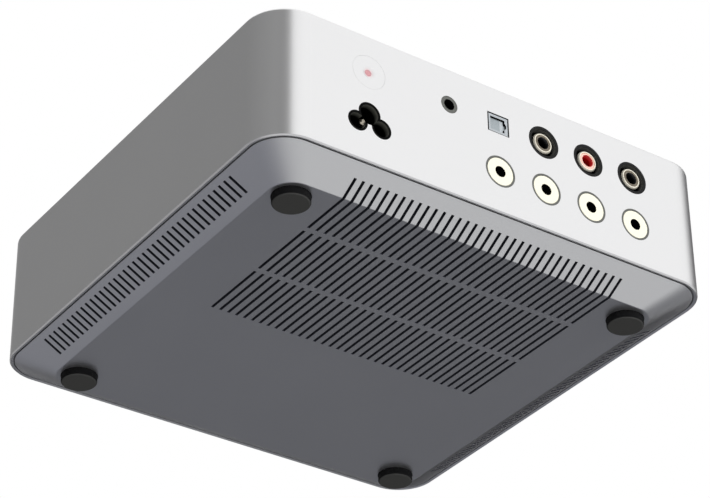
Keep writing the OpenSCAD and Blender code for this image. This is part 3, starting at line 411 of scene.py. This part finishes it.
# %% Turn the noise into a colour, a roughness and a height
slow_centred = arithmetic(grain, "SUBTRACT", slow_noise.outputs["Fac"], 0.5)
fine_centred = arithmetic(grain, "SUBTRACT", fine_noise.outputs["Fac"], 0.5)
drift = arithmetic(grain, "MULTIPLY", slow_centred, grain_in["Tone Drift"])
tone = arithmetic(grain, "MULTIPLY_ADD", fine_centred, grain_in["Speckle"], drift)
tone_factor = arithmetic(grain, "ADD", tone, 1.0)
shaded = grain.nodes.new("ShaderNodeVectorMath")
shaded.operation = "SCALE"
grain.links.new(grain_in["Colour"], shaded.inputs[0])
grain.links.new(tone_factor, shaded.inputs["Scale"])
rough_mix = arithmetic(grain, "ADD", slow_centred, fine_centred)
rough_value = arithmetic(
    grain, "MULTIPLY_ADD", rough_mix, grain_in["Roughness Drift"], grain_in["Roughness"],
)
grain.links.new(shaded.outputs[0], grain_out["Colour"])
grain.links.new(rough_value, grain_out["Roughness"])
grain.links.new(fine_noise.outputs["Fac"], grain_out["Height"])
print("outputs:", list(group_outputs))

# %% [markdown]
# A finish is one Principled BSDF fed by the grain group. The numbers that are the same
# all over, such as how metallic it is, sit on the shader's own sockets.

# %% Describe a finish in one call
def make_finish(
    name, colour, metallic=0.0, roughness=0.5, specular=0.5, drift=0.06, speckle=0.08,
    grain_scale=3000.0, rough_drift=0.12, bump=0.1, bump_depth=0.00002,
):
    look = bpy.data.materials.new(name)
    look.use_nodes = True
    nodes = look.node_tree.nodes
    links = look.node_tree.links
    shader = nodes["Principled BSDF"]
    shader.inputs["Metallic"].default_value = metallic
    shader.inputs["Specular IOR Level"].default_value = specular
    surface = nodes.new("ShaderNodeGroup")
    surface.node_tree = grain
    surface.inputs["Colour"].default_value = (*colour, 1)
    surface.inputs["Tone Drift"].default_value = drift
    surface.inputs["Speckle"].default_value = speckle
    surface.inputs["Grain Scale"].default_value = grain_scale
    surface.inputs["Roughness"].default_value = roughness
    surface.inputs["Roughness Drift"].default_value = rough_drift
    links.new(surface.outputs["Colour"], shader.inputs["Base Color"])
    links.new(surface.outputs["Roughness"], shader.inputs["Roughness"])
    relief = nodes.new("ShaderNodeBump")
    relief.inputs["Strength"].default_value = bump
    relief.inputs["Distance"].default_value = bump_depth
    links.new(surface.outputs["Height"], relief.inputs["Height"])
    links.new(relief.outputs["Normal"], shader.inputs["Normal"])
    return look


def srgb(red, green, blue):
    """A colour as a picture editor shows it, 0 to 255, turned to Blender's linear values."""
    linear = []
    for value in (red, green, blue):
        share = value / 255
        linear.append(share / 12.92 if share <= 0.04045 else ((share + 0.055) / 1.055) ** 2.4)
    return tuple(linear)


finishes = {}
print("a finish takes a name, a colour and up to nine amounts")

# %% [markdown]
# ## Blasted aluminium
#
# The case is finely blasted, then anodised in its natural silver. Tiny dents scatter
# the light, so its mirror image of the room is a soft blur. Nearly all of its colour is
# reflection, and the clear anodised skin adds a little matt white.

# %% Make the aluminium finishes
aluminium_colour = (0.85, 0.85, 0.855)
blasted = {
    "metallic": 0.95, "roughness": 0.33, "specular": 0.3, "drift": 0.02, "speckle": 0.03,
    "grain_scale": 3800.0, "rough_drift": 0.06, "bump": 0.04,
}
for metal in ("case_aluminium", "tray_aluminium", "button_aluminium"):
    finishes[metal] = make_finish(metal, aluminium_colour, **blasted)
print("metal finishes:", list(finishes))

# %% [markdown]
# ## Plastics and rubber
#
# The sockets are moulded plastic with a fine spark-eroded skin. The feet are solid
# rubber, rougher and almost black.

# %% Make the moulded finishes
moulded = {
    # hole_black colours the insides of holes, mouths and gaps black: painted shade.
    "hole_black": ((8, 8, 9), {"roughness": 0.6, "specular": 0.05}),
    "socket_black": ((25, 25, 25), {"roughness": 0.5, "specular": 0.12, "bump": 0.2}),
    "socket_red": ((170, 30, 34), {"roughness": 0.35, "bump": 0.15}),
    "socket_grey": ((92, 93, 89), {"roughness": 0.5, "bump": 0.2}),
    "optical_grey": ((176, 181, 185), {"roughness": 0.45, "bump": 0.15}),
    "bush_cream": ((250, 246, 226), {"roughness": 0.4, "bump": 0.12}),
    "terminal_green": ((60, 130, 90), {"roughness": 0.5}),
    "part_black": ((32, 32, 34), {"roughness": 0.55}),
    "part_yellow": ((220, 180, 50), {"roughness": 0.45}),
    "lead_red": ((160, 26, 30), {"roughness": 0.5}),
    "lead_brown": ((96, 58, 36), {"roughness": 0.5}),
    "ribbon_grey": ((170, 172, 176), {"roughness": 0.5}),
}
for name, (shown_colour, amounts) in moulded.items():
    finishes[name] = make_finish(name, srgb(*shown_colour), **amounts)
finishes["foot_rubber"] = make_finish(
    "foot_rubber", srgb(18, 18, 19), roughness=0.75, specular=0.1,
    drift=0.25, speckle=0.3, grain_scale=900.0, bump=0.5, bump_depth=0.00006,
)
print("moulded finishes:", len(moulded) + 1)

# %% [markdown]
# The flat undersides of the feet are painted greyer than their walls: painted light, standing in
# for the light that reaches them from below. The mask is the part of the surface's own normal
# that points down. The same helper blends any second colour into a finish.

# %% Paint light onto the undersides of the feet
def own_place(look):
    return look.node_tree.nodes.new("ShaderNodeTexCoord")


def blend_colour(look, mask, colour):
    nodes = look.node_tree.nodes
    links = look.node_tree.links
    surface = next(n for n in nodes if n.bl_idname == "ShaderNodeGroup")
    blend = nodes.new("ShaderNodeMix")
    blend.data_type = "RGBA"
    links.new(mask, blend.inputs[0])
    links.new(surface.outputs["Colour"], blend.inputs[6])
    blend.inputs[7].default_value = (*colour, 1)
    links.new(blend.outputs[2], nodes["Principled BSDF"].inputs["Base Color"])


def range_mask(look, value, start, end):
    node = look.node_tree.nodes.new("ShaderNodeMapRange")
    look.node_tree.links.new(value, node.inputs["Value"])
    node.inputs["From Min"].default_value = start
    node.inputs["From Max"].default_value = end
    return node.outputs["Result"]


underside_light_starts = -0.6
underside_light_full = -0.98
foot_look = finishes["foot_rubber"]
foot_axes = foot_look.node_tree.nodes.new("ShaderNodeSeparateXYZ")
foot_look.node_tree.links.new(own_place(foot_look).outputs["Normal"], foot_axes.inputs[0])
# Painted light: faces that point down are lightened towards a pale grey.
underside_light = range_mask(foot_look, foot_axes.outputs["Z"], underside_light_starts, underside_light_full)
blend_colour(foot_look, underside_light, srgb(103, 103, 101))
print("underside_lightened:", foot_look.name)

# %% [markdown]
# ## Plated and bare metal
#
# Sleeves, pins and screws are real metal: their colour lies in their reflections.

# %% Make the bright metal finishes
bare_metals = {
    "contact_brass": ((214, 178, 104), 0.35),
    "screw_steel": ((190, 190, 192), 0.35),
    "hex_brass": ((205, 170, 96), 0.38),
    "fuse_metal": ((196, 198, 196), 0.3),
}
for name, (shown_colour, roughness) in bare_metals.items():
    finishes[name] = make_finish(name, srgb(*shown_colour), metallic=1.0, roughness=roughness)
finishes["nickel"] = make_finish(
    "nickel", srgb(212, 204, 188), metallic=1.0, roughness=0.3, drift=0.1, speckle=0.06,
)
print("metals:", list(bare_metals) + ["nickel"])

# %% [markdown]
# Inside the case the parts are coated: blue sleeves on the capacitors, lacquer on the
# copper, green resist on the boards and dark paint on the heat sinks.

# %% Make the finishes of the inner parts
finishes["can_blue"] = make_finish("can_blue", srgb(42, 52, 92), roughness=0.32)
finishes["winding_copper"] = make_finish(
    "winding_copper", srgb(190, 106, 52), metallic=0.8, roughness=0.35,
    grain_scale=1500.0, bump=0.4,
)
finishes["core_dark"] = make_finish("core_dark", srgb(52, 52, 56), roughness=0.6)
finishes["heat_sink_dark"] = make_finish(
    "heat_sink_dark", srgb(48, 48, 50), metallic=0.4, roughness=0.5,
)
finishes["board_green"] = make_finish(
    "board_green", srgb(24, 84, 50), roughness=0.35, drift=0.2,
)
print("finishes so far:", len(finishes))

# %% [markdown]
# ## The lit dot
#
# A light pipe ends in the middle of the button's face. It glows a soft pinkish red.

# %% Make the glowing finish
glow_strength = 0.04
lens_look = make_finish("lens_red", srgb(199, 145, 150), roughness=0.4)
lens_shader = lens_look.node_tree.nodes["Principled BSDF"]
lens_group = next(n for n in lens_look.node_tree.nodes if n.bl_idname == "ShaderNodeGroup")
lens_look.node_tree.links.new(lens_group.outputs["Colour"], lens_shader.inputs["Emission Color"])
lens_shader.inputs["Emission Strength"].default_value = glow_strength
finishes["lens_red"] = lens_look
print("lit finish:", lens_look.name)

# %% [markdown]
# Each CAD part names the material slot that the record gives it, and takes the finish
# of the same name.

# %% Dress the CAD parts
for part in parts.values():
    for slot in part.material_slots:
        slot.material = finishes[slot.material.name.split(".")[0]]
print("finishes:", len(finishes))

# %% [markdown]
# ## Fine shapes round the sockets
#
# Everything round on the rear wall is turned: a short line of points, each a radius and
# a depth behind the wall's face in millimetres, is spun round an axis square to the
# wall. A closed line gives a closed ring, so its outside is never in doubt. Each stretch
# of the line can have a finish of its own.

# %% Write the turning helpers
mm = 0.001
rear_face = cad_high.y
upper_row = 0.0442
lower_row = 0.0253
socket_x = 0.00075
socket_pitch = 0.019
sharp_angle = math.radians(32)
merge_distance = 0.002 * mm


def keep_piece(name, shape, looks, body, replaced=()):
    bmesh.ops.remove_doubles(shape, verts=shape.verts, dist=merge_distance)
    bmesh.ops.recalc_face_normals(shape, faces=shape.faces)
    mesh = bpy.data.meshes.new(name)
    shape.to_mesh(mesh)
    shape.free()
    for look in looks:
        mesh.materials.append(finishes[look])
    mesh.shade_smooth()
    mesh.set_sharp_from_angle(angle=sharp_angle)
    piece = bpy.data.objects.new(name, mesh)
    bpy.context.scene.collection.objects.link(piece)
    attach(piece, body)
    if replaced:
        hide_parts(*replaced)
    return piece


def turn(shape, centre_x, centre_z, stretches, steps=56):
    centre = Vector((centre_x, rear_face, centre_z))
    for look_index, outline in stretches:
        older = set(shape.faces)
        line = []
        for radius, depth in outline:
            line.append(shape.verts.new(centre + Vector((radius * mm, -depth * mm, 0))))
        edges = [shape.edges.new(pair) for pair in zip(line, line[1:])]
        bmesh.ops.spin(
            shape, geom=line + edges, cent=centre, axis=(0, 1, 0), dvec=(0, 0, 0),
            angle=math.tau, steps=steps, use_merge=True,
        )
        for face in set(shape.faces) - older:
            face.material_index = look_index


print("rear wall at y =", round(rear_face, 4))

# %% [markdown]
# The speaker sockets take 4 mm plugs. Each is a flat cream disc inside a thin grey ring, and its
# hole is painted black from the very face, as painted shade.

# %% Turn the speaker sockets
speaker_xs = [socket_x - k * socket_pitch for k in range(4)]
for number, x in enumerate(speaker_xs, start=1):
    bush = bmesh.new()
    turn(bush, x, lower_row, [
        (0, [(2.1, 0.02), (5.12, 0.0), (5.2, 0.08), (5.2, 9.0), (3.0, 9.0), (2.08, 8.0)]),
        # Painted shade: the bore is coloured black.
        (1, [(2.08, 8.0), (2.08, 0.1), (2.1, 0.02)]),
    ])
    keep_piece(
        f"speaker_disc_{number}", bush, ["bush_cream", "hole_black"], "case",
        [f"speaker_bush_{number}"],
    )
rings = bmesh.new()
for x in speaker_xs:
    turn(rings, x, lower_row, [
        (0, [(5.21, 0.05), (5.3, 0.0), (5.9, 0.0), (5.98, 0.06)]),
        (0, [(5.98, 0.06), (5.98, 2.4), (5.21, 2.4), (5.21, 0.05)]),
    ])
keep_piece("speaker_rings", rings, ["socket_grey"], "case", ["speaker_collars"])
print("speaker sockets:", len(speaker_xs))

# %% [markdown]
# A phono sleeve has a narrow, rounded nose that catches the light. Inside it sits the coloured
# insulator, a funnel that leads the plug's pin to the contact. The funnel's lip is painted
# paler, pink on the red one and brownish grey on the black ones, as painted light where the lip
# catches the light. Its bore is painted darker, as painted shade.

# %% Draw the phono sockets
sleeve_line = [
    (3.1, 9.4), (3.1, 0.6), (3.14, 0.38), (3.22, 0.28), (3.5, 0.28), (3.62, 0.4), (3.88, 0.9),
]
# Painted shade: past its nose the sleeve's outside is coloured black.
sleeve_back = [(3.88, 0.9), (4.15, 2.2), (4.15, 9.4), (3.1, 9.4)]
funnel_line = [
    (0, [(3.08, 5.0), (3.08, 0.75), (2.95, 0.6), (2.3, 0.3)]),
    (2, [(2.3, 0.3), (2.05, 0.6), (1.85, 1.5)]),
    (1, [(1.85, 1.5), (1.62, 2.5), (1.62, 9.0), (3.08, 9.0), (3.08, 5.0)]),
]
finishes["sleeve_nickel"] = make_finish(
    "sleeve_nickel", srgb(244, 238, 222), metallic=0.45, roughness=0.34, specular=0.5,
    drift=0.08, speckle=0.08,
)
# The lit lip colours are painted light; the bore's darker colours are painted shade.
funnel_finishes = {
    "funnel_black": ((20, 20, 21), {"roughness": 0.24}),
    "funnel_grey": ((112, 104, 92), {"roughness": 0.3}),
    "funnel_pink": ((250, 206, 192), {"roughness": 0.3}),
    "funnel_red": ((200, 40, 40), {"roughness": 0.3}),
    "funnel_shaded_red": ((165, 8, 12), {"roughness": 0.5, "specular": 0.2}),
}
for name, (shown_colour, amounts) in funnel_finishes.items():
    finishes[name] = make_finish(name, srgb(*shown_colour), **amounts)
funnel_looks = {
    "sub": ["funnel_grey", "hole_black", "funnel_black"],
    "left": ["funnel_grey", "hole_black", "funnel_black"],
    "right": ["funnel_pink", "funnel_shaded_red", "funnel_red"],
}
print("funnel finishes:", len(funnel_finishes))

# %% [markdown]
# The three sockets are turned from the same lines, and only their finishes differ.

# %% Spin the sleeves and the funnels
phono_places = {"sub": speaker_xs[1], "right": speaker_xs[2], "left": speaker_xs[3]}
for side, x in phono_places.items():
    sleeve = bmesh.new()
    turn(sleeve, x, upper_row, [(0, sleeve_line), (1, sleeve_back)])
    keep_piece(
        f"sleeve_nose_{side}", sleeve, ["sleeve_nickel", "hole_black"], "case",
        [f"phono_sleeve_{side}"],
    )
    funnel = bmesh.new()
    turn(funnel, x, upper_row, funnel_line)
    keep_piece(
        f"funnel_{side}", funnel, funnel_looks[side], "case",
        [f"phono_insulator_{side}"],
    )
print("phono sockets:", len(phono_places))

# %% [markdown]
# A dark plastic collar stands round each sleeve with a narrow groove between them. The first two
# millimetres of the groove are painted paler, as painted light that stands in for the light
# reaching into the groove, so it doesn't turn into a black ring. The mains inlet's mouth has the
# same painted light, and the rest of the inlet is painted nearly black, as painted shade. The
# mask is the depth behind the rear wall's face: the painted light comes in between two depths,
# and it fades between two others.

# %% Paint light into the mouths of the sockets
def paint_light_by_depth(look, start, full, fading, end, colour):
    tree = look.node_tree
    axes = tree.nodes.new("ShaderNodeSeparateXYZ")
    tree.links.new(own_place(look).outputs["Object"], axes.inputs[0])
    depth_axis = axes.outputs["Y"]
    entered = range_mask(look, depth_axis, rear_face - start * mm, rear_face - full * mm)
    not_passed = range_mask(look, depth_axis, rear_face - end * mm, rear_face - fading * mm)
    blend_colour(look, arithmetic(tree, "MULTIPLY", entered, not_passed), colour)


collar_look = make_finish(
    "collar_black", srgb(25, 25, 25), roughness=0.5, specular=0.12, bump=0.2,
)
# Painted light: the first millimetres of the collar's groove are lightened.
paint_light_by_depth(collar_look, 0.05, 0.4, 2.0, 3.0, srgb(110, 110, 107))
# Painted shade: the inlet's near-black colour; painted light: its lightened mouth.
inlet_look = make_finish(
    "inlet_black", srgb(6, 6, 6), roughness=0.5, specular=0.04, bump=0.2,
)
paint_light_by_depth(inlet_look, 0.05, 0.3, 0.6, 2.4, srgb(134, 134, 126))
lit_mouth_parts = {f"phono_body_{side}": collar_look for side in phono_places}
lit_mouth_parts["mains_inlet"] = inlet_look
for part_name, look in lit_mouth_parts.items():
    for slot in parts[part_name].material_slots:
        slot.material = look
print("rubbed sockets:", len(lit_mouth_parts))

# %% [markdown]
# The jack socket's grey ring has a mouth that widens towards the face. The mouth is painted
# black inside, as painted shade.

# %% Turn the jack socket
jack_x = 0.0208
ring = bmesh.new()
turn(ring, jack_x, upper_row, [
    (0, [(2.05, 0.02), (3.15, 0.0), (3.25, 0.1), (3.25, 4.0), (1.9, 4.0), (1.8, 3.9)]),
    # Painted shade: the mouth and bore are coloured black.
    (1, [(1.8, 3.9), (1.8, 0.5), (2.05, 0.02)]),
])
keep_piece("jack_nose", ring, ["socket_grey", "hole_black"], "case", ["jack_ring"])
print("jack socket at x =", jack_x)

# %% [markdown]
# The optical socket's nose is a light frame with a dark gap round it, and a black ring set into
# that gap is painted shade. Its mouth is painted black inside, as painted shade, and has a key
# notch on one side. Eight matching points on every loop let one tube run from the face through
# the mouth, round the cavity and back outside.

# %% Shape the optical socket
notch_heights = [1.2, 0.6, -0.6, -1.4]


def plain_loop(left, right, low, high):
    corners = [(left, low), (left, high), (right, high)]
    return corners + [(right, height) for height in notch_heights] + [(right, low)]


mouth_loop = [
    (-3.2, -2.75), (-3.2, 2.4), (2.7, 2.4), (2.7, 1.2),
    (3.3, 0.6), (3.3, -0.6), (2.5, -1.4), (2.5, -2.75),
]
nose_loop = plain_loop(-3.88, 3.88, -3.52, 3.3)


def tube_of_loops(shape, stretches):
    rings_made = []
    for loop, depth, look_index in stretches:
        ring_points = []
        for across_mm, up_mm in loop:
            place = Vector((-across_mm, -depth, up_mm)) * mm
            ring_points.append(shape.verts.new(place + Vector((socket_x, rear_face, upper_row))))
        rings_made.append((ring_points, look_index))
    for k, (ring_points, look_index) in enumerate(rings_made):
        next_points = rings_made[(k + 1) % len(rings_made)][0]
        for j in range(len(ring_points)):
            after = (j + 1) % len(ring_points)
            corners = (ring_points[j], ring_points[after], next_points[after], next_points[j])
            face = shape.faces.new(corners)
            face.material_index = look_index


cavity_loop = plain_loop(-3.6, 3.6, -3.0, 2.9)
shoulder_loop = plain_loop(-6.5, 6.5, -5.0, 5.6)
nose = bmesh.new()
# Painted shade: the mouth and the cavity take the black finish.
tube_of_loops(nose, [
    (nose_loop, 0.06, 0),
    (mouth_loop, 0.06, 1),
    (mouth_loop, 0.94, 1),
    (cavity_loop, 0.94, 1),
    (cavity_loop, 12.5, 1),
    (shoulder_loop, 12.5, 0),
    (shoulder_loop, 2.65, 0),
    (nose_loop, 2.65, 0),
])
keep_piece(
    "optical_nose", nose, ["optical_grey", "hole_black"], "case",
    ["optical_housing"],
)
# Painted shade: a black ring that fills the gap round the nose.
gap_outside = plain_loop(-4.38, 4.38, -3.78, 3.78)
gap_inside = plain_loop(-3.89, 3.89, -3.53, 3.31)
surround = bmesh.new()
tube_of_loops(surround, [
    (gap_outside, 0.15, 0),
    (gap_inside, 0.15, 0),
    (gap_inside, 0.7, 0),
    (gap_outside, 0.7, 0),
])
keep_piece("optical_surround", surround, ["hole_black"], "case")
print("optical socket at x =", socket_x)

# %% [markdown]
# Behind the mouth hangs the sprung door, a little darker than the frame. A pale strip
# runs down it on the side of the notch. The strip rides on the door's own body, so it
# swings in with the door.

# %% Dress the optical socket's door
finishes["door_grey"] = make_finish("door_grey", srgb(158, 166, 170), roughness=0.45, bump=0.15)
finishes["door_edge"] = make_finish("door_edge", srgb(186, 192, 196), roughness=0.45, bump=0.15)
for slot in parts["optical_shutter"].material_slots:
    slot.material = finishes["door_grey"]
strip = bmesh.new()
door_centre = Vector((socket_x, rear_face, upper_row))
strip_from = door_centre + Vector((-2.6, -1.02, -2.7)) * mm
strip_to = door_centre + Vector((-1.25, -0.97, 2.2)) * mm
bmesh.ops.create_cube(strip, size=1.0)
bmesh.ops.scale(strip, verts=strip.verts, vec=strip_to - strip_from)
bmesh.ops.translate(strip, verts=strip.verts, vec=(strip_from + strip_to) / 2)
keep_piece("optical_door_strip", strip, ["door_edge"], "shutter")
print("door strip width in mm:", round((strip_to.x - strip_from.x) / mm, 2))

# %% [markdown]
# The button is turned from the same aluminium as the case, and its gap is so fine that it almost
# vanishes. The lit dot lies in a shallow dish, and its glow on the dish is painted into the
# aluminium's colour as a soft pink pool of light.

# %% Paint the dot's glow onto the button's dish
service_x = 0.0527
halo_outer = 0.0023
halo_inner = 0.0011
halo_share = 0.3
button_look = finishes["button_aluminium"]
button_tree = button_look.node_tree
from_axis = button_tree.nodes.new("ShaderNodeVectorMath")
from_axis.operation = "SUBTRACT"
button_tree.links.new(own_place(button_look).outputs["Object"], from_axis.inputs[0])
from_axis.inputs[1].default_value = (service_x, 0, upper_row)
in_wall = button_tree.nodes.new("ShaderNodeVectorMath")
in_wall.operation = "MULTIPLY"
button_tree.links.new(from_axis.outputs[0], in_wall.inputs[0])
in_wall.inputs[1].default_value = (1, 0, 1)
reach = button_tree.nodes.new("ShaderNodeVectorMath")
reach.operation = "LENGTH"
button_tree.links.new(in_wall.outputs[0], reach.inputs[0])
# Painted light: a soft pink pool round the dot, strongest next to it.
halo = range_mask(button_look, reach.outputs["Value"], halo_outer, halo_inner)
halo_soft = arithmetic(button_tree, "MULTIPLY", halo, halo)
halo_weak = arithmetic(button_tree, "MULTIPLY", halo_soft, halo_share)
blend_colour(button_look, halo_weak, srgb(255, 150, 158))
print("halo's reach in mm:", halo_outer / mm)

# %% [markdown]
# The cap and the dot are turned round the same axis. The dot is the end of the light
# pipe, and its line starts and ends on the axis, so it is a closed solid.

# %% Turn the button
button_radius = 6.33
cap = bmesh.new()
turn(cap, service_x, upper_row, [
    (0, [(1.21, 0.5), (1.7, 0.32), (2.3, 0.08), (2.9, 0.0), (6.29, 0.0)]),
    (0, [(6.29, 0.0), (button_radius, 0.05), (button_radius, 2.6)]),
    (0, [(button_radius, 2.6), (7.0, 2.6), (7.0, 3.4), (1.21, 3.4), (1.21, 0.5)]),
])
keep_piece("button_face", cap, ["button_aluminium"], "button", ["button_cap"])
lens = bmesh.new()
turn(lens, service_x, upper_row, [
    (0, [(0.0, 0.42), (0.7, 0.44), (1.1, 0.5), (1.2, 0.6), (1.2, 3.4), (0.0, 3.4)]),
])
keep_piece("button_dot", lens, ["lens_red"], "button", ["button_lens"])
print("button radius:", button_radius, "mm")

# %% [markdown]
# ## The vented tray
#
# The tray is one pressed sheet: a flat floor, a sloping band that widens to the rim, and
# a lip inside the shell. Rings of points describe it, each a square with round corners.
# The corner's radius grows with the band, so the corners are parts of smooth cones.
# Each ring is given by half its width, its corner radius and its height, in millimetres.

# %% Shape the tray
tray_rings = [
    (75.95, 8.65, 2.7),
    (76.45, 8.89, 2.84),
    (88.16, 12.76, 9.43),
    (88.16, 12.76, 12.7),
    (86.45, 11.05, 12.7),
    (86.45, 11.05, 10.65),
    (75.66, 8.26, 4.7),
]
corner_steps = 20


def rounded_square(shape, half, corner, height):
    ring_points = []
    for quarter, (side_x, side_y) in enumerate([(1, 1), (-1, 1), (-1, -1), (1, -1)]):
        for step in range(corner_steps + 1):
            angle = (quarter + step / corner_steps) * math.pi / 2
            x = side_x * (half - corner) + corner * math.cos(angle)
            y = side_y * (half - corner) + corner * math.sin(angle)
            ring_points.append(shape.verts.new((x * mm, y * mm, height * mm)))
    return ring_points


tray_shape = bmesh.new()
loops = [rounded_square(tray_shape, *ring_size) for ring_size in tray_rings]
tray_shape.faces.new(loops[0])
tray_shape.faces.new(loops[-1])
for first, second in zip(loops, loops[1:]):
    for k in range(len(first)):
        after = (k + 1) % len(first)
        tray_shape.faces.new((first[k], first[after], second[after], second[k]))
print("tray points:", len(tray_shape.verts))

# %% [markdown]
# One cutter holds all the slots and the four round seats of the feet. The cut surfaces take the
# cutter's material, a dark matt grey that is painted shade: little light gets into a slot that
# is one millimetre wide.

# %% Cut the slots
floor_slot_width = 1.08
side_slot_width = 1.15
slot_pitch = 3.17
slot_shift = -0.25
floor_rows = 3
floor_columns = 35
first_row_end = 83.15
row_pitch = 29.25
row_length = 27.1
side_slots = 39
side_slot_inner = 79.4
side_slot_outer = 86.1
box_height = 7.0
box_middle = 6.0
cutter_shape = bmesh.new()


def add_cutter_box(x_low, x_high, y_low, y_high):
    made = bmesh.ops.create_cube(cutter_shape, size=1.0)
    box_size = Vector((x_high - x_low, y_high - y_low, box_height)) * mm
    box_centre = Vector(((x_low + x_high) / 2, (y_low + y_high) / 2, box_middle)) * mm
    bmesh.ops.scale(cutter_shape, verts=made["verts"], vec=box_size)
    bmesh.ops.translate(cutter_shape, verts=made["verts"], vec=box_centre)


def add_slot(middle, width, y_low, y_high):
    add_cutter_box(middle - width / 2, middle + width / 2, y_low, y_high)


for row in range(floor_rows):
    row_end = first_row_end - row * row_pitch
    for column in range(floor_columns):
        slot_middle = (column - floor_columns // 2) * slot_pitch + slot_shift
        add_slot(slot_middle, floor_slot_width, row_end - row_length, row_end)
for slot_number in range(side_slots):
    y = (slot_number - side_slots // 2) * slot_pitch + slot_shift
    for side in (-1, 1):
        inner, outer = sorted((side * side_slot_inner, side * side_slot_outer))
        add_cutter_box(inner, outer, y - side_slot_width / 2, y + side_slot_width / 2)
print("slots:", floor_rows * floor_columns + 2 * side_slots)

# %% [markdown]
# The feet stand in shallow round seats, so the same cutter sinks those too. Its mesh carries the
# painted shade, and the cut hands it on to the walls of the slots and of the seats.

# %% Cut the seats of the feet and apply the cutter
foot_place = 67.9
seat_radius = 6.6
seat_depth = 1.0
seat_middle = 2.8
for side_x in (-1, 1):
    for side_y in (-1, 1):
        seat = bmesh.ops.create_cone(
            cutter_shape, cap_ends=True, segments=48,
            radius1=seat_radius * mm, radius2=seat_radius * mm, depth=seat_depth * mm,
        )
        seat_centre = Vector((side_x * foot_place, side_y * foot_place, seat_middle)) * mm
        bmesh.ops.translate(cutter_shape, verts=seat["verts"], vec=seat_centre)
cutter_mesh = bpy.data.meshes.new("slot_cutter")
cutter_shape.to_mesh(cutter_mesh)
cutter_shape.free()
# Painted shade: the walls of the slots and the seats are coloured dark grey in place of the
# aluminium.
finishes["slot_painted_shade"] = make_finish("slot_painted_shade", srgb(70, 72, 82), roughness=0.6, specular=0.1)
cutter_mesh.materials.append(finishes["slot_painted_shade"])
cutter = bpy.data.objects.new("slot_cutter", cutter_mesh)
bpy.context.scene.collection.objects.link(cutter)

tray_piece = keep_piece(
    "vented_tray", tray_shape, ["tray_aluminium"], "case", ["base_tray"],
)
cut_slots = tray_piece.modifiers.new("slots", "BOOLEAN")
cut_slots.operation = "DIFFERENCE"
cut_slots.solver = "EXACT"
cut_slots.material_mode = "TRANSFER"
cut_slots.object = cutter
settle = tray_piece.modifiers.new("even_shading", "WEIGHTED_NORMAL")
settle.keep_sharp = True
bpy.context.view_layer.update()
cut_mesh = bpy.data.meshes.new_from_object(
    tray_piece.evaluated_get(bpy.context.evaluated_depsgraph_get())
)
tray_piece.modifiers.clear()
tray_piece.data = cut_mesh
bpy.data.objects.remove(cutter)
print("tray faces:", len(cut_mesh.polygons), "finishes:", [m.name for m in cut_mesh.materials])

# %% [markdown]
# The shell's lower edge is broken by a small flat bevel, which catches the light as a
# fine line. The rim's underside tilts inwards a little, so the line goes on along the
# far sides, where the bevel faces away. Both lie just outside the rounding of the solid.
# The rings are given in the same way as the tray's.

# %% Bevel the shell's lower edge
edge_rings = [
    (90.0, 14.6, 10.4),
    (90.0, 14.6, 9.66),
    (89.55, 14.15, 9.22),
    (88.7, 13.3, 9.54),
    (88.7, 13.3, 9.7),
    (89.4, 14.0, 10.4),
]
edge_shape = bmesh.new()
edge_loops = [rounded_square(edge_shape, *ring_size) for ring_size in edge_rings]
for first, second in zip(edge_loops, edge_loops[1:] + edge_loops[:1]):
    for k in range(len(first)):
        after = (k + 1) % len(first)
        edge_shape.faces.new((first[k], first[after], second[after], second[k]))
keep_piece("shell_edge", edge_shape, ["case_aluminium"], "case")
print("edge rings:", len(edge_rings))
